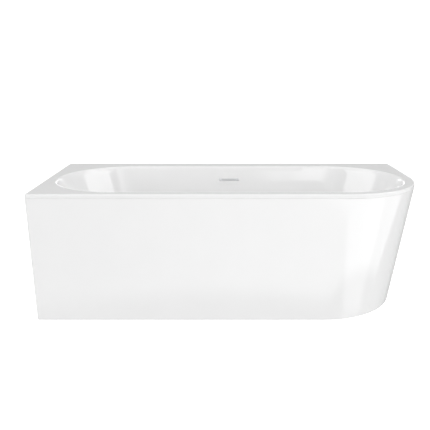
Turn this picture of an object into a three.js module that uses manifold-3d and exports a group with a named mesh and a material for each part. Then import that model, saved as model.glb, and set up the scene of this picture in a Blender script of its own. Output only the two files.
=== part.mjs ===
// A corner bathtub with a double wall: an acrylic shell, a tapered apron, a steel leg frame and a waste kit.
// Millimetres. +X runs along the bath to its rounded end, +Y towards the back wall, +Z up.
// The origin is on the floor, under the middle of the bath's outline.
import * as THREE from "three";
import { mergeVertices } from "three/addons/utils/BufferGeometryUtils.js";
import Module from "manifold-3d";

// ---- Driving dimensions ----------------------------------------------------------------------------------

const GAP = 0.3; // left between faces that touch
const RUNNING = 0.4; // radial clearance of a piece that slides or turns in a hole

// How many flats stand for a full turn.
const ROUND = 24;
const SMALL = 12;
const TINY = 8;

// How many straight steps stand for an arc.
const CORNER_STEPS = 3;
const BEND_STEPS = 18;
const END_STEPS = 6;
const PILL_STEPS = 4;
const WALL_LEVELS = 10; // steps up the basin's wall
const ROLL_ANGLES = [30, 60, 90]; // steps round the rolled edges
const HOSE_STEPS = 30;

const PAST = 1; // how far a cutter goes past the face that it cuts, and a joined piece into its neighbour
const CHAMFER = 1; // the small edge breaks

const bath = {
  length: 1700,
  depth: 750,
  height: 575,
  cornerRadius: 360, // the rounded front right corner, at the rim
  smallCorner: 12, // the other upright corners
  rimEdge: 5, // rounding of the rim's outer edge
  lip: 17, // height of the rim's turned down edge
  wall: 8, // acrylic sheet with its glass fibre backing
};

const basin = {
  rimLeft: 42, // flat rim left at the sides of the opening
  rimRight: 42,
  rimFront: 35,
  rimBack: 90,
  rimRoll: 12, // rounding from the rim down into the basin
  endReach: 330, // length of the opening's half-elliptical ends
  floorHeight: 148, // above the floor of the room, at the drain
  floorFall: 5, // the basin floor's rise from the drain to its edge
  slopeEnds: 308, // how far the basin's floor ends inside the opening, at the two ends
  slopeSides: 142.5, // and at the front and the back
  floorEndReach: 150,
  handleFloor: 0.45, // handles of the wall's curve, as shares of its run and its rise
  handleWall: [0.66, 0.3],
  dish: { halfLength: 60, halfWidth: 45 }, // flat middle of the floor, round the drain
};

const apron = {
  wall: 6,
  taperFront: 32, // how far the foot stands back from the rim
  taperRight: 73,
  footRadius: 370, // the rounded corner, at the foot
  floorGap: 2,
  leftReturn: 60, // the apron's return along the side wall
  backReturn: 60, // and along the back wall
  flange: 26, // inward flanges at the head and the foot
  flangeThick: 6,
  basinClear: 3, // kept between the flanges and the basin
};

const board = { insetEnds: 20, insetSides: 5, endReach: 90, thick: 18, drainCut: 52 };
const batten = { thick: 18, backWidth: 40, leftWidth: 18, backInset: 75, leftInset: 75 };

const frame = {
  tube: 25, // square tube
  tubeWall: 2,
  railInset: 30, // the rails' ends inside the basin's floor
  railSideInset: 40, // the rails' middles inside the basin's floor
  barInset: 125, // the bars' ends inside the front and the back of the rim
  barEndInset: 70, // the outer bars inside the ends of the basin's floor
  middleBar: 190, // the middle bar stands this far to the right of the drain
  footInset: 25, // the feet from the bars' ends
};

const foot = {
  padRadius: 27,
  padHeight: 12,
  padEdge: 3, // height of the pad's upright edge
  padStep: 4, // how far its slope steps in above that
  padNeck: 12, // radius at the pad's top
  studRadius: 6, // M12
  studAbove: 23, // how far the stud stands out above its bar
  studHex: 16, // across flats
  studHexHeight: 8,
  socketDepth: 7,
  nutFlats: 19,
  nutHeight: 10,
};

const bracket = { width: 34, thick: 3, clear: 3, reachOnBar: 40, reachOnFlange: 40 };
const screw = { shank: 2.5, head: 5.5, headHeight: 3, bite: 12, endInset: 120, middle: 60 };

const drain = {
  x: 0,
  holeRadius: 27,
  recessRadius: 38,
  recessDepth: 4,
  flangeRadius: 35.5,
  flangeThick: 2.6,
  flangeSlope: 2, // width of the sloped outer edge
  throat: 21.5,
  spigotWall: 2.5,
  spigotLength: 30,
  gasketThick: 1.2,
  spokeWidth: 4,
  spokeHeight: 5,
  hubRadius: 9,
};

const plug = {
  radius: 31,
  thick: 5.5,
  dome: 3.5,
  domeRings: [0.7, 0.35, 0], // as shares of the radius
  neck: 13,
  stem: 3.4,
  stemLength: 20,
  stemSocket: 4, // how deep the stem sits in the cap
  sealThick: 3.2,
  sealSlope: 3, // how much narrower the seal is at its lower edge
  clear: 1, // kept between the closed plug and its cartridge
};
const cartridge = { radius: 7, length: 19, bore: 3.8, floor: 3, studRadius: 4, studLength: 9 };

const waste = {
  innerRadius: 28,
  wall: 3,
  collarDepth: 18, // the threaded collar that takes the spigot of the ring
  headRadius: 42,
  headThick: 4,
  sealThick: 2,
  skirtRadius: 42, // the threaded skirt that takes the trap's nut
  skirtHeight: 14,
  dipRadius: 17, // the tube that dips into the trap's cup
  dipWall: 2.5,
  dipLength: 26,
  hoseInletHeight: 100,
  hoseInletReach: 26,
};

const trap = {
  radius: 46,
  wall: 3,
  bottom: 8, // above the floor of the room
  edge: 6, // the cup's sloped lower edge
  shoulder: 60, // height of the cup's shoulder
  shoulderSlope: 4,
  neck: 37,
  collar: 41.5, // the flange of the cup's neck, which the nut holds
  collarThick: 4,
  top: 72,
  nutRadius: 49.5,
  nutLip: 3.5,
  nutEdge: 2,
  socketRadius: 23,
  outletHeight: 34,
  branchReach: 28,
};

const outlet = {
  radius: 20,
  wall: 2,
  grip: 14, // how much of the pipe sits in the cup's socket
  nutRadius: 27.5,
  nutLength: 24,
  nutEdge: 3,
  backClearance: 6,
};

const overflow = {
  below: 67, // the slot's middle under the rim
  length: 104,
  height: 12,
  margin: 3, // how far the grille's frame laps over the slot in the shell
  slots: 7,
  slotLength: 8,
  slotHeight: 2.4,
  slotPitch: 10.5,
  frameThick: 2.5,
  boxDepth: 34,
  boxHeight: 40,
  boxWall: 3,
  gasketThick: 2,
  spigotLength: 28,
  screwRadius: 2,
  screwHead: 3.4,
  screwHeadHeight: 1.6,
  screwAside: 7.4, // the screws from the ends of the grille
  boxBeyond: 8, // how far the box reaches past the grille at each end
  gasketInset: 2, // how far the gasket stands inside the box's ends
  gasketLap: 2, // how far its opening's ends stand inside the grille's
};

const hose = {
  radius: 13,
  wall: 1.6,
  sides: 10,
  nutWall: 3.4,
  nutLength: 18,
  nutBefore: 2, // how far a nut reaches past its end of the hose
  grip: 14, // how much of the hose sits on a spigot
  clear: 11, // kept between the hose and the basin
  sideways: 190, // how far it swings to the left on its way down
  // On its way down the basin's back: shares of the height and of the swing.
  way: [
    [0.6, 0.12],
    [0.4, 0.35],
    [0.18, 0.65],
    [0, 0.86],
  ],
  steepest: 2.4, // the most that the wall's lean moves it away from the wall
  turn: { aside: 0.84, along: 0.3, up: 10 }, // its bend under the basin, on the way to the waste body
  railRise: 1, // between the two sides of the back rail
  straight: [2.8, 2, 1, 0], // the last points before the waste body, in lengths of its grip
};

// Outer and inner radius of the spigots that the hose is pushed on.
const HOSE_SPIGOT = (hose.radius - hose.wall) * Math.cos(Math.PI / hose.sides) - GAP;
const HOSE_BORE = HOSE_SPIGOT - 2;

// ---- Places worked out from them -------------------------------------------------------------------------

const LEFT = -bath.length / 2;
const RIGHT = bath.length / 2;
const FRONT = -bath.depth / 2;
const BACK = bath.depth / 2;
const TOP = bath.height;

// The opening of the basin at the rim, and its middle line along the bath.
const opening = {
  x: (basin.rimLeft - basin.rimRight) / 2,
  y: (basin.rimFront - basin.rimBack) / 2,
  halfLength: (bath.length - basin.rimLeft - basin.rimRight) / 2,
  halfWidth: (bath.depth - basin.rimFront - basin.rimBack) / 2,
};

const floorPlan = {
  halfLength: opening.halfLength - basin.slopeEnds,
  halfWidth: opening.halfWidth - basin.slopeSides,
};

// The storeys under the basin, from the top down: board, rails, bars.
const SHELL_UNDER = basin.floorHeight - bath.wall;
const BOARD_TOP = SHELL_UNDER - GAP;
const BOARD_UNDER = BOARD_TOP - board.thick;
const RAIL_TOP = BOARD_UNDER - GAP;
const RAIL_UNDER = RAIL_TOP - frame.tube;
const BAR_TOP = RAIL_UNDER - GAP;
const BAR_UNDER = BAR_TOP - frame.tube;

const RAIL_HALF = floorPlan.halfLength - frame.railInset;
const RAIL_ASIDE = floorPlan.halfWidth - frame.railSideInset;
const BAR_HALF = bath.depth / 2 - frame.barInset;
const FOOT_ASIDE = BAR_HALF - frame.footInset;
const OUTER_BAR = floorPlan.halfLength - frame.barEndInset;
const BAR_PLACES = [-OUTER_BAR, drain.x + frame.middleBar, OUTER_BAR];
const OUTER_SCREW = floorPlan.halfLength - screw.endInset;
const SCREW_PLACES = [-OUTER_SCREW, drain.x + screw.middle, OUTER_SCREW];

const SEAM = TOP - bath.lip; // underside of the rim's lip, where the apron begins
const APRON_TOP = SEAM - GAP;
const BOWL_WALL_TOP = TOP - basin.rimRoll; // where the basin's wall meets the rounded rim

// ---- Solids ----------------------------------------------------------------------------------------------

const wasm = await Module();
wasm.setup();

// A manifold-3d solid of a closed geometry.
function solid(geometry) {
  const bare = new THREE.BufferGeometry().setAttribute("position", geometry.getAttribute("position"));
  if (geometry.index) bare.setIndex(geometry.index);
  const merged = mergeVertices(bare, 1e-4);
  return new wasm.Manifold(
    new wasm.Mesh({
      numProp: 3,
      vertProperties: new Float32Array(merged.attributes.position.array),
      triVerts: new Uint32Array(merged.index.array),
    }),
  );
}

// The geometry of a manifold-3d solid, with flat shading.
function geometryOf(made) {
  const mesh = made.getMesh();
  const geometry = new THREE.BufferGeometry();
  geometry.setAttribute("position", new THREE.BufferAttribute(new Float32Array(mesh.vertProperties), 3));
  geometry.setIndex(new THREE.BufferAttribute(new Uint32Array(mesh.triVerts), 1));
  const flat = geometry.toNonIndexed();
  flat.computeVertexNormals();
  return flat;
}

// A closed solid through level rings, lowest first, which turn counter-clockwise and have equal counts.
function loft(rings) {
  const count = rings[0].points.length;
  const positions = rings.flatMap((ring) => ring.points.flatMap((p) => [p.x, p.y, ring.z]));
  const index = [];
  for (let level = 0; level < rings.length - 1; level += 1) {
    for (let i = 0; i < count; i += 1) {
      const next = (i + 1) % count;
      const [a, b] = [level * count + i, level * count + next];
      index.push(a, b, b + count, a, b + count, a + count);
    }
  }
  const last = (rings.length - 1) * count;
  for (const [a, b, c] of THREE.ShapeUtils.triangulateShape(rings[0].points, [])) index.push(c, b, a);
  for (const [a, b, c] of THREE.ShapeUtils.triangulateShape(rings.at(-1).points, [])) {
    index.push(last + a, last + b, last + c);
  }
  const geometry = new THREE.BufferGeometry();
  geometry.setAttribute("position", new THREE.Float32BufferAttribute(positions, 3));
  geometry.setIndex(index);
  return solid(geometry);
}

// An upright prism of a plan outline.
function prism(points, low, high) {
  return loft([
    { points, z: low },
    { points, z: high },
  ]);
}

// A solid turned about the Z axis from a profile of [radius, height] pairs that runs up its outside.
function turned(profile, segments = ROUND) {
  const points = profile.map(([r, z]) => new THREE.Vector2(r, z));
  return solid(new THREE.LatheGeometry(points, segments).rotateX(Math.PI / 2));
}

function disc(radius, low, high, segments = ROUND) {
  return turned([[0, low], [radius, low], [radius, high], [0, high]], segments);
}

function ring(inner, outer, low, high, segments = ROUND) {
  return turned([[inner, low], [outer, low], [outer, high], [inner, high], [inner, low]], segments);
}

function hexagon(flats, low, high) {
  return disc(flats / Math.sqrt(3), low, high, 6);
}

function box(x0, x1, y0, y1, z0, z1) {
  const geometry = new THREE.BoxGeometry(x1 - x0, y1 - y0, z1 - z0);
  return solid(geometry.translate((x0 + x1) / 2, (y0 + y1) / 2, (z0 + z1) / 2));
}

// A round tube swept along a curve.
function sweptTube(curve, outer, inner, steps) {
  const circle = (radius) => arc(0, 0, radius, radius, 0, 360 - 360 / hose.sides, hose.sides - 1);
  const section = new THREE.Shape(circle(outer));
  section.holes.push(new THREE.Path(circle(inner)));
  return solid(new THREE.ExtrudeGeometry(section, { steps, extrudePath: curve }));
}

// ---- Plan outlines ---------------------------------------------------------------------------------------

function arc(x, y, rx, ry, from, to, steps) {
  return Array.from({ length: steps + 1 }, (_, i) => {
    const angle = THREE.MathUtils.degToRad(from + ((to - from) * i) / steps);
    return new THREE.Vector2(x + rx * Math.cos(angle), y + ry * Math.sin(angle));
  });
}

// The bath's outline, pulled in by an inset: three small corners and the large one at the front right.
function bathPlan(inset) {
  const [left, right, front, back] = [LEFT + inset, RIGHT - inset, FRONT + inset, BACK - inset];
  const small = bath.smallCorner - inset;
  const large = bath.cornerRadius - inset;
  return [
    ...arc(left + small, front + small, small, small, 180, 270, CORNER_STEPS),
    ...arc(right - large, front + large, large, large, 270, 360, BEND_STEPS),
    ...arc(right - small, back - small, small, small, 0, 90, CORNER_STEPS),
    ...arc(left + small, back - small, small, small, 90, 180, CORNER_STEPS),
  ];
}

// A basin level: straight sides and half-elliptical ends.
function basinPlan(halfLength, halfWidth, reach, grow = 0) {
  const straight = halfLength - reach;
  return [
    ...arc(opening.x + straight, opening.y, reach + grow, halfWidth + grow, -90, 90, BEND_STEPS),
    ...arc(opening.x - straight, opening.y, reach + grow, halfWidth + grow, 90, 270, BEND_STEPS),
  ];
}

// The basin's levels from its floor up to the rounded rim, grown outwards and dropped for the outer face.
function basinLevels(grow, drop) {
  const floorEdge = basin.floorHeight + basin.floorFall;
  const rise = BOWL_WALL_TOP - floorEdge;
  const profile = new THREE.CubicBezierCurve(
    new THREE.Vector2(0, 0),
    new THREE.Vector2(basin.handleFloor, 0),
    new THREE.Vector2(...basin.handleWall),
    new THREE.Vector2(1, 1),
  );
  const roll = basin.rimRoll;
  return profile.getPoints(WALL_LEVELS).map(({ x: out, y: up }) => ({
    z: floorEdge - drop * (1 - up) + rise * up,
    points: basinPlan(
      THREE.MathUtils.lerp(floorPlan.halfLength, opening.halfLength - roll, out),
      THREE.MathUtils.lerp(floorPlan.halfWidth, opening.halfWidth - roll, out),
      THREE.MathUtils.lerp(basin.floorEndReach, basin.endReach - roll, out),
      grow,
    ),
  }));
}

// The strip of the apron's plan between two distances inside its outer face, at a height.
function apronStrip(near, far, z) {
  const down = (APRON_TOP - z) / (APRON_TOP - apron.floorGap);
  const path = (inset) => {
    const front = FRONT + apron.taperFront * down + inset;
    const right = RIGHT - apron.taperRight * down - inset;
    const small = Math.max(bath.smallCorner - inset, 1);
    const large = THREE.MathUtils.lerp(bath.cornerRadius, apron.footRadius, down) - inset;
    const [left, back] = [LEFT + inset, BACK - inset];
    return [
      new THREE.Vector2(left, FRONT + apron.leftReturn),
      ...arc(left + small, front + small, small, small, 180, 270, CORNER_STEPS),
      ...arc(right - large, front + large, large, large, 270, 360, BEND_STEPS),
      ...arc(right - small, back - small, small, small, 0, 90, CORNER_STEPS),
      new THREE.Vector2(RIGHT - apron.taperRight * down - apron.backReturn, back),
    ];
  };
  return { z, points: [...path(near), ...path(far).reverse()] };
}

// ---- Pieces ----------------------------------------------------------------------------------------------

const materials = {
  acrylic: new THREE.MeshStandardMaterial({ color: 0xf4f4f5, roughness: 0.12, metalness: 0 }),
  chrome: new THREE.MeshStandardMaterial({ color: 0xd8dadc, roughness: 0.08, metalness: 1 }),
  steel: new THREE.MeshStandardMaterial({ color: 0x9fa4a8, roughness: 0.4, metalness: 0.9 }),
  brass: new THREE.MeshStandardMaterial({ color: 0xc9a24e, roughness: 0.3, metalness: 1 }),
  rubber: new THREE.MeshStandardMaterial({ color: 0x1d1d1f, roughness: 0.8, metalness: 0 }),
  plastic: new THREE.MeshStandardMaterial({ color: 0xe4e5e6, roughness: 0.45, metalness: 0 }),
  darkPlastic: new THREE.MeshStandardMaterial({ color: 0x2b2c2e, roughness: 0.5, metalness: 0 }),
  wood: new THREE.MeshStandardMaterial({ color: 0xb08a5e, roughness: 0.8, metalness: 0 }),
};

const bathtub = new THREE.Group();
bathtub.name = "bathtub";

function add(name, made, material, place = [0, 0, 0]) {
  const mesh = new THREE.Mesh(geometryOf(made), material);
  mesh.name = name;
  mesh.position.set(...place);
  bathtub.add(mesh);
}

// Rim, basin and turned down lip in one sheet, with the drain's recess and the overflow's slot cut in it.
function bathShell() {
  const edge = bath.rimEdge;
  const rounded = [0, ...ROLL_ANGLES].map((degrees) => {
    const angle = THREE.MathUtils.degToRad(degrees);
    return { points: bathPlan(edge * (1 - Math.cos(angle))), z: TOP - edge * (1 - Math.sin(angle)) };
  });
  const slab = loft([{ points: bathPlan(0), z: SEAM }, ...rounded]);
  const underRim = prism(bathPlan(bath.wall), SEAM - PAST, TOP - bath.wall);

  const roll = basin.rimRoll;
  const outerLevels = basinLevels(bath.wall, basin.floorFall + bath.wall);
  const outside = loft([...outerLevels, { points: outerLevels.at(-1).points, z: TOP - bath.wall / 2 }]);

  const rollLevels = ROLL_ANGLES.map((degrees) => {
    const angle = THREE.MathUtils.degToRad(degrees);
    const back = roll * Math.cos(angle);
    return {
      z: BOWL_WALL_TOP + roll * Math.sin(angle),
      points: basinPlan(opening.halfLength - back, opening.halfWidth - back, basin.endReach - back),
    };
  });
  const openTop = { ...rollLevels.at(-1), z: TOP + PAST };
  const { halfLength, halfWidth } = basin.dish;
  const dish = { points: basinPlan(halfLength, halfWidth, halfWidth), z: basin.floorHeight };
  const inside = loft([dish, ...basinLevels(0, 0), ...rollLevels, openTop]);

  const above = basin.floorHeight + basin.floorFall;
  const recess = disc(drain.recessRadius, basin.floorHeight - drain.recessDepth, above);
  const hole = disc(drain.holeRadius, SHELL_UNDER - PAST, above);
  return slab
    .subtract(underRim)
    .add(outside)
    .subtract(inside)
    .subtract(recess.add(hole).translate([drain.x, opening.y, 0]))
    .subtract(overflowCutter(4 * bath.wall));
}

// The outer skirt: its front, rounded corner and right end lean inwards to the foot.
function apronShell() {
  const skin = loft([apronStrip(0, apron.wall, apron.floorGap), apronStrip(0, apron.wall, APRON_TOP)]);
  const flangeAt = (low) =>
    loft([
      apronStrip(apron.wall - PAST, apron.wall + apron.flange, low),
      apronStrip(apron.wall - PAST, apron.wall + apron.flange, low + apron.flangeThick),
    ]);
  const aroundBasin = loft(basinLevels(bath.wall + apron.basinClear, basin.floorFall + bath.wall));
  return skin
    .add(flangeAt(apron.floorGap))
    .add(flangeAt(APRON_TOP - apron.flangeThick))
    .subtract(aroundBasin);
}

function screwPlaces() {
  return [-1, 1].flatMap((side) => SCREW_PLACES.map((x) => [x, opening.y + side * RAIL_ASIDE]));
}

function baseBoard() {
  const halfWidth = floorPlan.halfWidth - board.insetSides;
  const straight = floorPlan.halfLength - board.insetEnds - board.endReach;
  const plan = [
    ...arc(straight, opening.y, board.endReach, halfWidth, -90, 90, END_STEPS),
    ...arc(-straight, opening.y, board.endReach, halfWidth, 90, 270, END_STEPS),
  ];
  const cut = disc(board.drainCut, BOARD_UNDER - PAST, BOARD_TOP + PAST).translate([drain.x, opening.y, 0]);
  const pilot = disc(screw.shank + GAP, BOARD_UNDER - PAST, BOARD_UNDER + screw.bite + PAST, TINY);
  let made = prism(plan, BOARD_UNDER, BOARD_TOP).subtract(cut);
  for (const [x, y] of screwPlaces()) made = made.subtract(pilot.translate([x, y, 0]));
  return made;
}

// A square tube along X, with its ends open.
function squareTube(half, top) {
  const side = frame.tube / 2;
  const inner = side - frame.tubeWall;
  const middle = top - side;
  return box(-half, half, -side, side, top - frame.tube, top).subtract(
    box(-half - PAST, half + PAST, -inner, inner, middle - inner, middle + inner),
  );
}

function frameRail() {
  const hole = disc(screw.shank + GAP, RAIL_UNDER - PAST, RAIL_TOP + PAST, TINY);
  let made = squareTube(RAIL_HALF, RAIL_TOP);
  for (const x of SCREW_PLACES) made = made.subtract(hole.translate([x, 0, 0]));
  return made;
}

function frameBar() {
  const hole = disc(foot.studRadius + RUNNING, BAR_UNDER - PAST, BAR_TOP + PAST, SMALL);
  return squareTube(BAR_HALF, BAR_TOP)
    .rotate([0, 0, 90])
    .subtract(hole.translate([0, -FOOT_ASIDE, 0]))
    .subtract(hole.translate([0, FOOT_ASIDE, 0]));
}

function footPad() {
  const { padRadius: r, padHeight: h, padEdge, padStep, padNeck, socketDepth } = foot;
  const bore = foot.studRadius + RUNNING;
  return turned([
    [0, 0],
    [r, 0],
    [r, padEdge],
    [r - padStep, 2 * padEdge],
    [padNeck, h],
    [bore, h],
    [bore, h - socketDepth],
    [0, h - socketDepth],
  ], SMALL);
}

// A threaded stud whose foot sits in the pad, with a hexagon to turn it by.
function footStud() {
  const low = foot.padHeight - foot.socketDepth + GAP;
  const hexLow = foot.padHeight + GAP;
  return disc(foot.studRadius, low, BAR_TOP + foot.studAbove, SMALL).add(
    hexagon(foot.studHex, hexLow, hexLow + foot.studHexHeight),
  );
}

function footNut() {
  const high = BAR_UNDER - GAP;
  const bore = disc(foot.studRadius + RUNNING, high - foot.nutHeight - PAST, high + PAST, SMALL);
  return hexagon(foot.nutFlats, high - foot.nutHeight, high).subtract(bore);
}

// A folded strip, held on a front foot's stud, that ties the bar down to the apron's foot flange.
function apronBracket() {
  const { width, thick, clear, reachOnBar, reachOnFlange } = bracket;
  const half = width / 2;
  const onBar = BAR_TOP + GAP;
  const onFlange = apron.floorGap + apron.flangeThick + GAP;
  const riser = -BAR_HALF - clear;
  const arm = box(-half, half, riser - thick, riser + reachOnBar, onBar, onBar + thick);
  const upright = box(-half, half, riser - thick, riser, onFlange, onBar + thick);
  const tread = box(-half, half, riser - reachOnFlange, riser, onFlange, onFlange + thick);
  const hole = disc(foot.studRadius + RUNNING, onBar - PAST, onBar + thick + PAST, SMALL);
  return arm.add(upright).add(tread).subtract(hole.translate([0, -FOOT_ASIDE, 0]));
}

function frameScrew() {
  const headTop = RAIL_UNDER - GAP;
  return disc(screw.head, headTop - screw.headHeight, headTop, SMALL).add(
    disc(screw.shank, headTop - PAST, BOARD_UNDER + screw.bite, TINY),
  );
}

// The storeys of the drain, from the recess in the basin's floor to the plug.
const RECESS_FLOOR = basin.floorHeight - drain.recessDepth;
const FLANGE_UNDER = RECESS_FLOOR + drain.gasketThick + 2 * GAP;
const FLANGE_TOP = FLANGE_UNDER + drain.flangeThick;
const SPIGOT_UNDER = FLANGE_UNDER - drain.spigotLength;
const SPOKE_TOP = FLANGE_TOP - cartridge.length - plug.sealThick - GAP - plug.clear;
const CARTRIDGE_TOP = SPOKE_TOP + GAP + cartridge.length;
const PLUG_UNDER = FLANGE_TOP + 2 * GAP;

// The drain's metal ring, with its threaded spigot and a cross of spokes that carries the plug's cartridge.
function wasteFlange() {
  const outer = drain.throat + drain.spigotWall;
  const ringProfile = [
    [drain.throat, SPIGOT_UNDER],
    [outer, SPIGOT_UNDER],
    [outer, FLANGE_UNDER],
    [drain.flangeRadius, FLANGE_UNDER],
    [drain.flangeRadius, FLANGE_TOP - CHAMFER],
    [drain.flangeRadius - drain.flangeSlope, FLANGE_TOP],
    [drain.throat + CHAMFER, FLANGE_TOP],
    [drain.throat, FLANGE_TOP - CHAMFER],
    [drain.throat, SPIGOT_UNDER],
  ];
  const half = drain.spokeWidth / 2;
  const reach = drain.throat + drain.spigotWall / 2;
  const low = SPOKE_TOP - drain.spokeHeight;
  const spoke = box(-reach, reach, -half, half, low, SPOKE_TOP);
  const cross = spoke.add(spoke.rotate([0, 0, 90]));
  const hub = disc(drain.hubRadius, low, SPOKE_TOP, SMALL);
  const bore = disc(cartridge.studRadius + GAP, low - PAST, SPOKE_TOP + PAST, SMALL);
  return turned(ringProfile).add(cross).add(hub).subtract(bore);
}

function flangeGasket() {
  const low = RECESS_FLOOR + GAP;
  const inner = drain.throat + drain.spigotWall + GAP;
  return ring(inner, drain.flangeRadius - CHAMFER, low, low + drain.gasketThick);
}

function clickCartridge() {
  const low = SPOKE_TOP + GAP;
  const body = disc(cartridge.radius, low, CARTRIDGE_TOP, SMALL);
  const stud = disc(cartridge.studRadius, low - cartridge.studLength, low + PAST, SMALL);
  const bore = disc(cartridge.bore, low + cartridge.floor, CARTRIDGE_TOP + PAST, SMALL);
  return body.add(stud).subtract(bore);
}

function plugCap() {
  const { radius, thick, dome, domeRings, neck } = plug;
  const crown = domeRings.map((share) => [radius * share, PLUG_UNDER + thick - dome * share ** 2]);
  const low = CARTRIDGE_TOP + plug.clear;
  return turned(
    [
      [0, low],
      [neck, low],
      [neck, PLUG_UNDER],
      [radius - CHAMFER, PLUG_UNDER],
      [radius, PLUG_UNDER + CHAMFER],
      [radius, PLUG_UNDER + thick - dome],
      ...crown,
    ],
  ).subtract(disc(plug.stem + GAP, low - PAST, low + plug.stemSocket, SMALL));
}

function plugSeal() {
  const high = PLUG_UNDER - GAP;
  const low = high - plug.sealThick;
  const reach = drain.throat - RUNNING;
  const inner = plug.neck + GAP;
  return turned([[inner, low], [reach - plug.sealSlope, low], [reach, high], [inner, high], [inner, low]]);
}

function plugStem() {
  const high = CARTRIDGE_TOP + plug.clear + plug.stemSocket - GAP;
  return disc(plug.stem, high - plug.stemLength, high, SMALL);
}

// The moulded body under the drain: a cup with a head flange, a collar for the metal ring's spigot,
// a threaded skirt for the trap's nut, an inlet for the overflow hose and a tube that dips into the trap.
const WASTE_FOOT = trap.top + GAP;

function wasteBody() {
  const { innerRadius: inner, wall, headRadius, headThick, skirtRadius, skirtHeight } = waste;
  const { dipRadius, dipWall, dipLength, collarDepth } = waste;
  const headTop = SHELL_UNDER - waste.sealThick - 2 * GAP;
  const outer = inner + wall;
  const collar = drain.throat + drain.spigotWall + GAP;
  const cup = turned(
    [
      [dipRadius - dipWall, WASTE_FOOT - dipLength],
      [dipRadius, WASTE_FOOT - dipLength],
      [dipRadius, WASTE_FOOT],
      [skirtRadius, WASTE_FOOT],
      [skirtRadius, WASTE_FOOT + skirtHeight],
      [outer, WASTE_FOOT + skirtHeight],
      [outer, headTop - headThick],
      [headRadius, headTop - headThick],
      [headRadius, headTop],
      [collar, headTop],
      [collar, headTop - collarDepth],
      [inner, headTop - collarDepth - wall],
      [inner, WASTE_FOOT + wall],
      [dipRadius - dipWall, WASTE_FOOT + wall],
      [dipRadius - dipWall, WASTE_FOOT - dipLength],
    ],
  );
  const pipeEnd = outer + waste.hoseInletReach + hose.grip;
  const alongX = (made) => made.rotate([0, -90, 0]).translate([0, 0, waste.hoseInletHeight]);
  const pipe = alongX(disc(HOSE_SPIGOT, inner + PAST, pipeEnd, SMALL));
  const bore = alongX(disc(HOSE_BORE, inner - 2 * wall, pipeEnd + PAST, SMALL));
  return cup.add(pipe).subtract(bore);
}

function wasteSeal() {
  const high = SHELL_UNDER - GAP;
  return ring(waste.innerRadius + waste.wall, waste.headRadius - CHAMFER, high - waste.sealThick, high);
}

// Turns a piece modelled along Z so that it points to the back wall at the height of the trap's outlet.
function alongOutlet(made) {
  return made.rotate([-90, 0, 0]).translate([0, 0, trap.outletHeight]);
}

// The trap's cup: its collar turns in the nut, so that the outlet can be aimed at the drain pipe.
function trapCup() {
  const { radius, wall, bottom, edge, shoulder, shoulderSlope, neck, collar, collarThick, top } = trap;
  const slopeFoot = shoulder - shoulderSlope;
  const cup = turned(
    [
      [0, bottom],
      [radius - edge, bottom],
      [radius, bottom + edge],
      [radius, slopeFoot],
      [neck, shoulder],
      [neck, top - collarThick],
      [collar, top - collarThick],
      [collar, top],
      [neck - wall, top],
      [neck - wall, shoulder - CHAMFER],
      [radius - wall, slopeFoot - CHAMFER],
      [radius - wall, bottom + edge],
      [radius - edge, bottom + wall],
      [0, bottom + wall],
    ],
  );
  const end = radius + trap.branchReach;
  const branch = alongOutlet(disc(trap.socketRadius, radius - wall, end));
  const bore = alongOutlet(disc(outlet.radius - outlet.wall, radius - 3 * wall, end + PAST));
  const socket = alongOutlet(disc(outlet.radius + GAP, end - outlet.grip, end + PAST));
  return cup.add(branch).subtract(bore).subtract(socket);
}

// The large nut on the waste body's skirt, whose lip holds up the collar of the trap's cup.
function trapNut() {
  const { neck, collarThick, top, nutRadius, nutLip, nutEdge } = trap;
  const lipTop = top - collarThick - GAP;
  const lipUnder = lipTop - nutLip;
  const inner = waste.skirtRadius + GAP;
  const high = WASTE_FOOT + waste.skirtHeight - CHAMFER;
  return turned(
    [
      [neck + RUNNING, lipUnder],
      [nutRadius - nutEdge, lipUnder],
      [nutRadius, lipUnder + nutEdge],
      [nutRadius, high],
      [inner, high],
      [inner, lipTop],
      [neck + RUNNING, lipTop],
      [neck + RUNNING, lipUnder],
    ],
  );
}

const SOCKET_END = trap.radius + trap.branchReach;

function outletPipe() {
  const end = BACK - outlet.backClearance - opening.y;
  return alongOutlet(ring(outlet.radius - outlet.wall, outlet.radius, SOCKET_END - outlet.grip + GAP, end));
}

function outletNut() {
  const grip = trap.socketRadius + GAP;
  const nose = outlet.radius + GAP;
  const start = SOCKET_END - outlet.nutLength / 2;
  const end = start + outlet.nutLength;
  return alongOutlet(
    turned(
      [
        [grip, start],
        [outlet.nutRadius, start],
        [outlet.nutRadius, end - outlet.nutEdge],
        [outlet.nutRadius - outlet.nutEdge, end],
        [nose, end],
        [nose, SOCKET_END + GAP],
        [grip, SOCKET_END + GAP],
        [grip, start],
      ],
    ),
  );
}

// The basin's back wall at the overflow: where its faces stand and how much it leans.
function backWallAt(z) {
  const levels = basinLevels(0, 0);
  const above = levels.findIndex((level) => level.z >= z);
  const [low, high] = [levels[above - 1], levels[above]];
  const reach = (level) => Math.max(...level.points.map((p) => p.y));
  const share = (z - low.z) / (high.z - low.z);
  return {
    y: THREE.MathUtils.lerp(reach(low), reach(high), share),
    lean: Math.atan2(reach(high) - reach(low), high.z - low.z),
  };
}

const OVERFLOW_HEIGHT = TOP - overflow.below;
const overflowWall = backWallAt(OVERFLOW_HEIGHT);

// A pill-shaped prism that stands along Y, from the basin's face of the back wall outwards.
function pill(length, height, from, to) {
  const straight = (length - height) / 2;
  const plan = [
    ...arc(straight, 0, height / 2, height / 2, -90, 90, PILL_STEPS),
    ...arc(-straight, 0, height / 2, height / 2, 90, 270, PILL_STEPS),
  ];
  return prism(plan, from, to).rotate([-90, 0, 0]);
}

// Stands a piece modelled about the origin at the overflow, square to the leaning wall.
function atOverflow(made) {
  const lean = THREE.MathUtils.radToDeg(overflowWall.lean);
  return made.rotate([-lean, 0, 0]).translate([opening.x, overflowWall.y, OVERFLOW_HEIGHT]);
}

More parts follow.
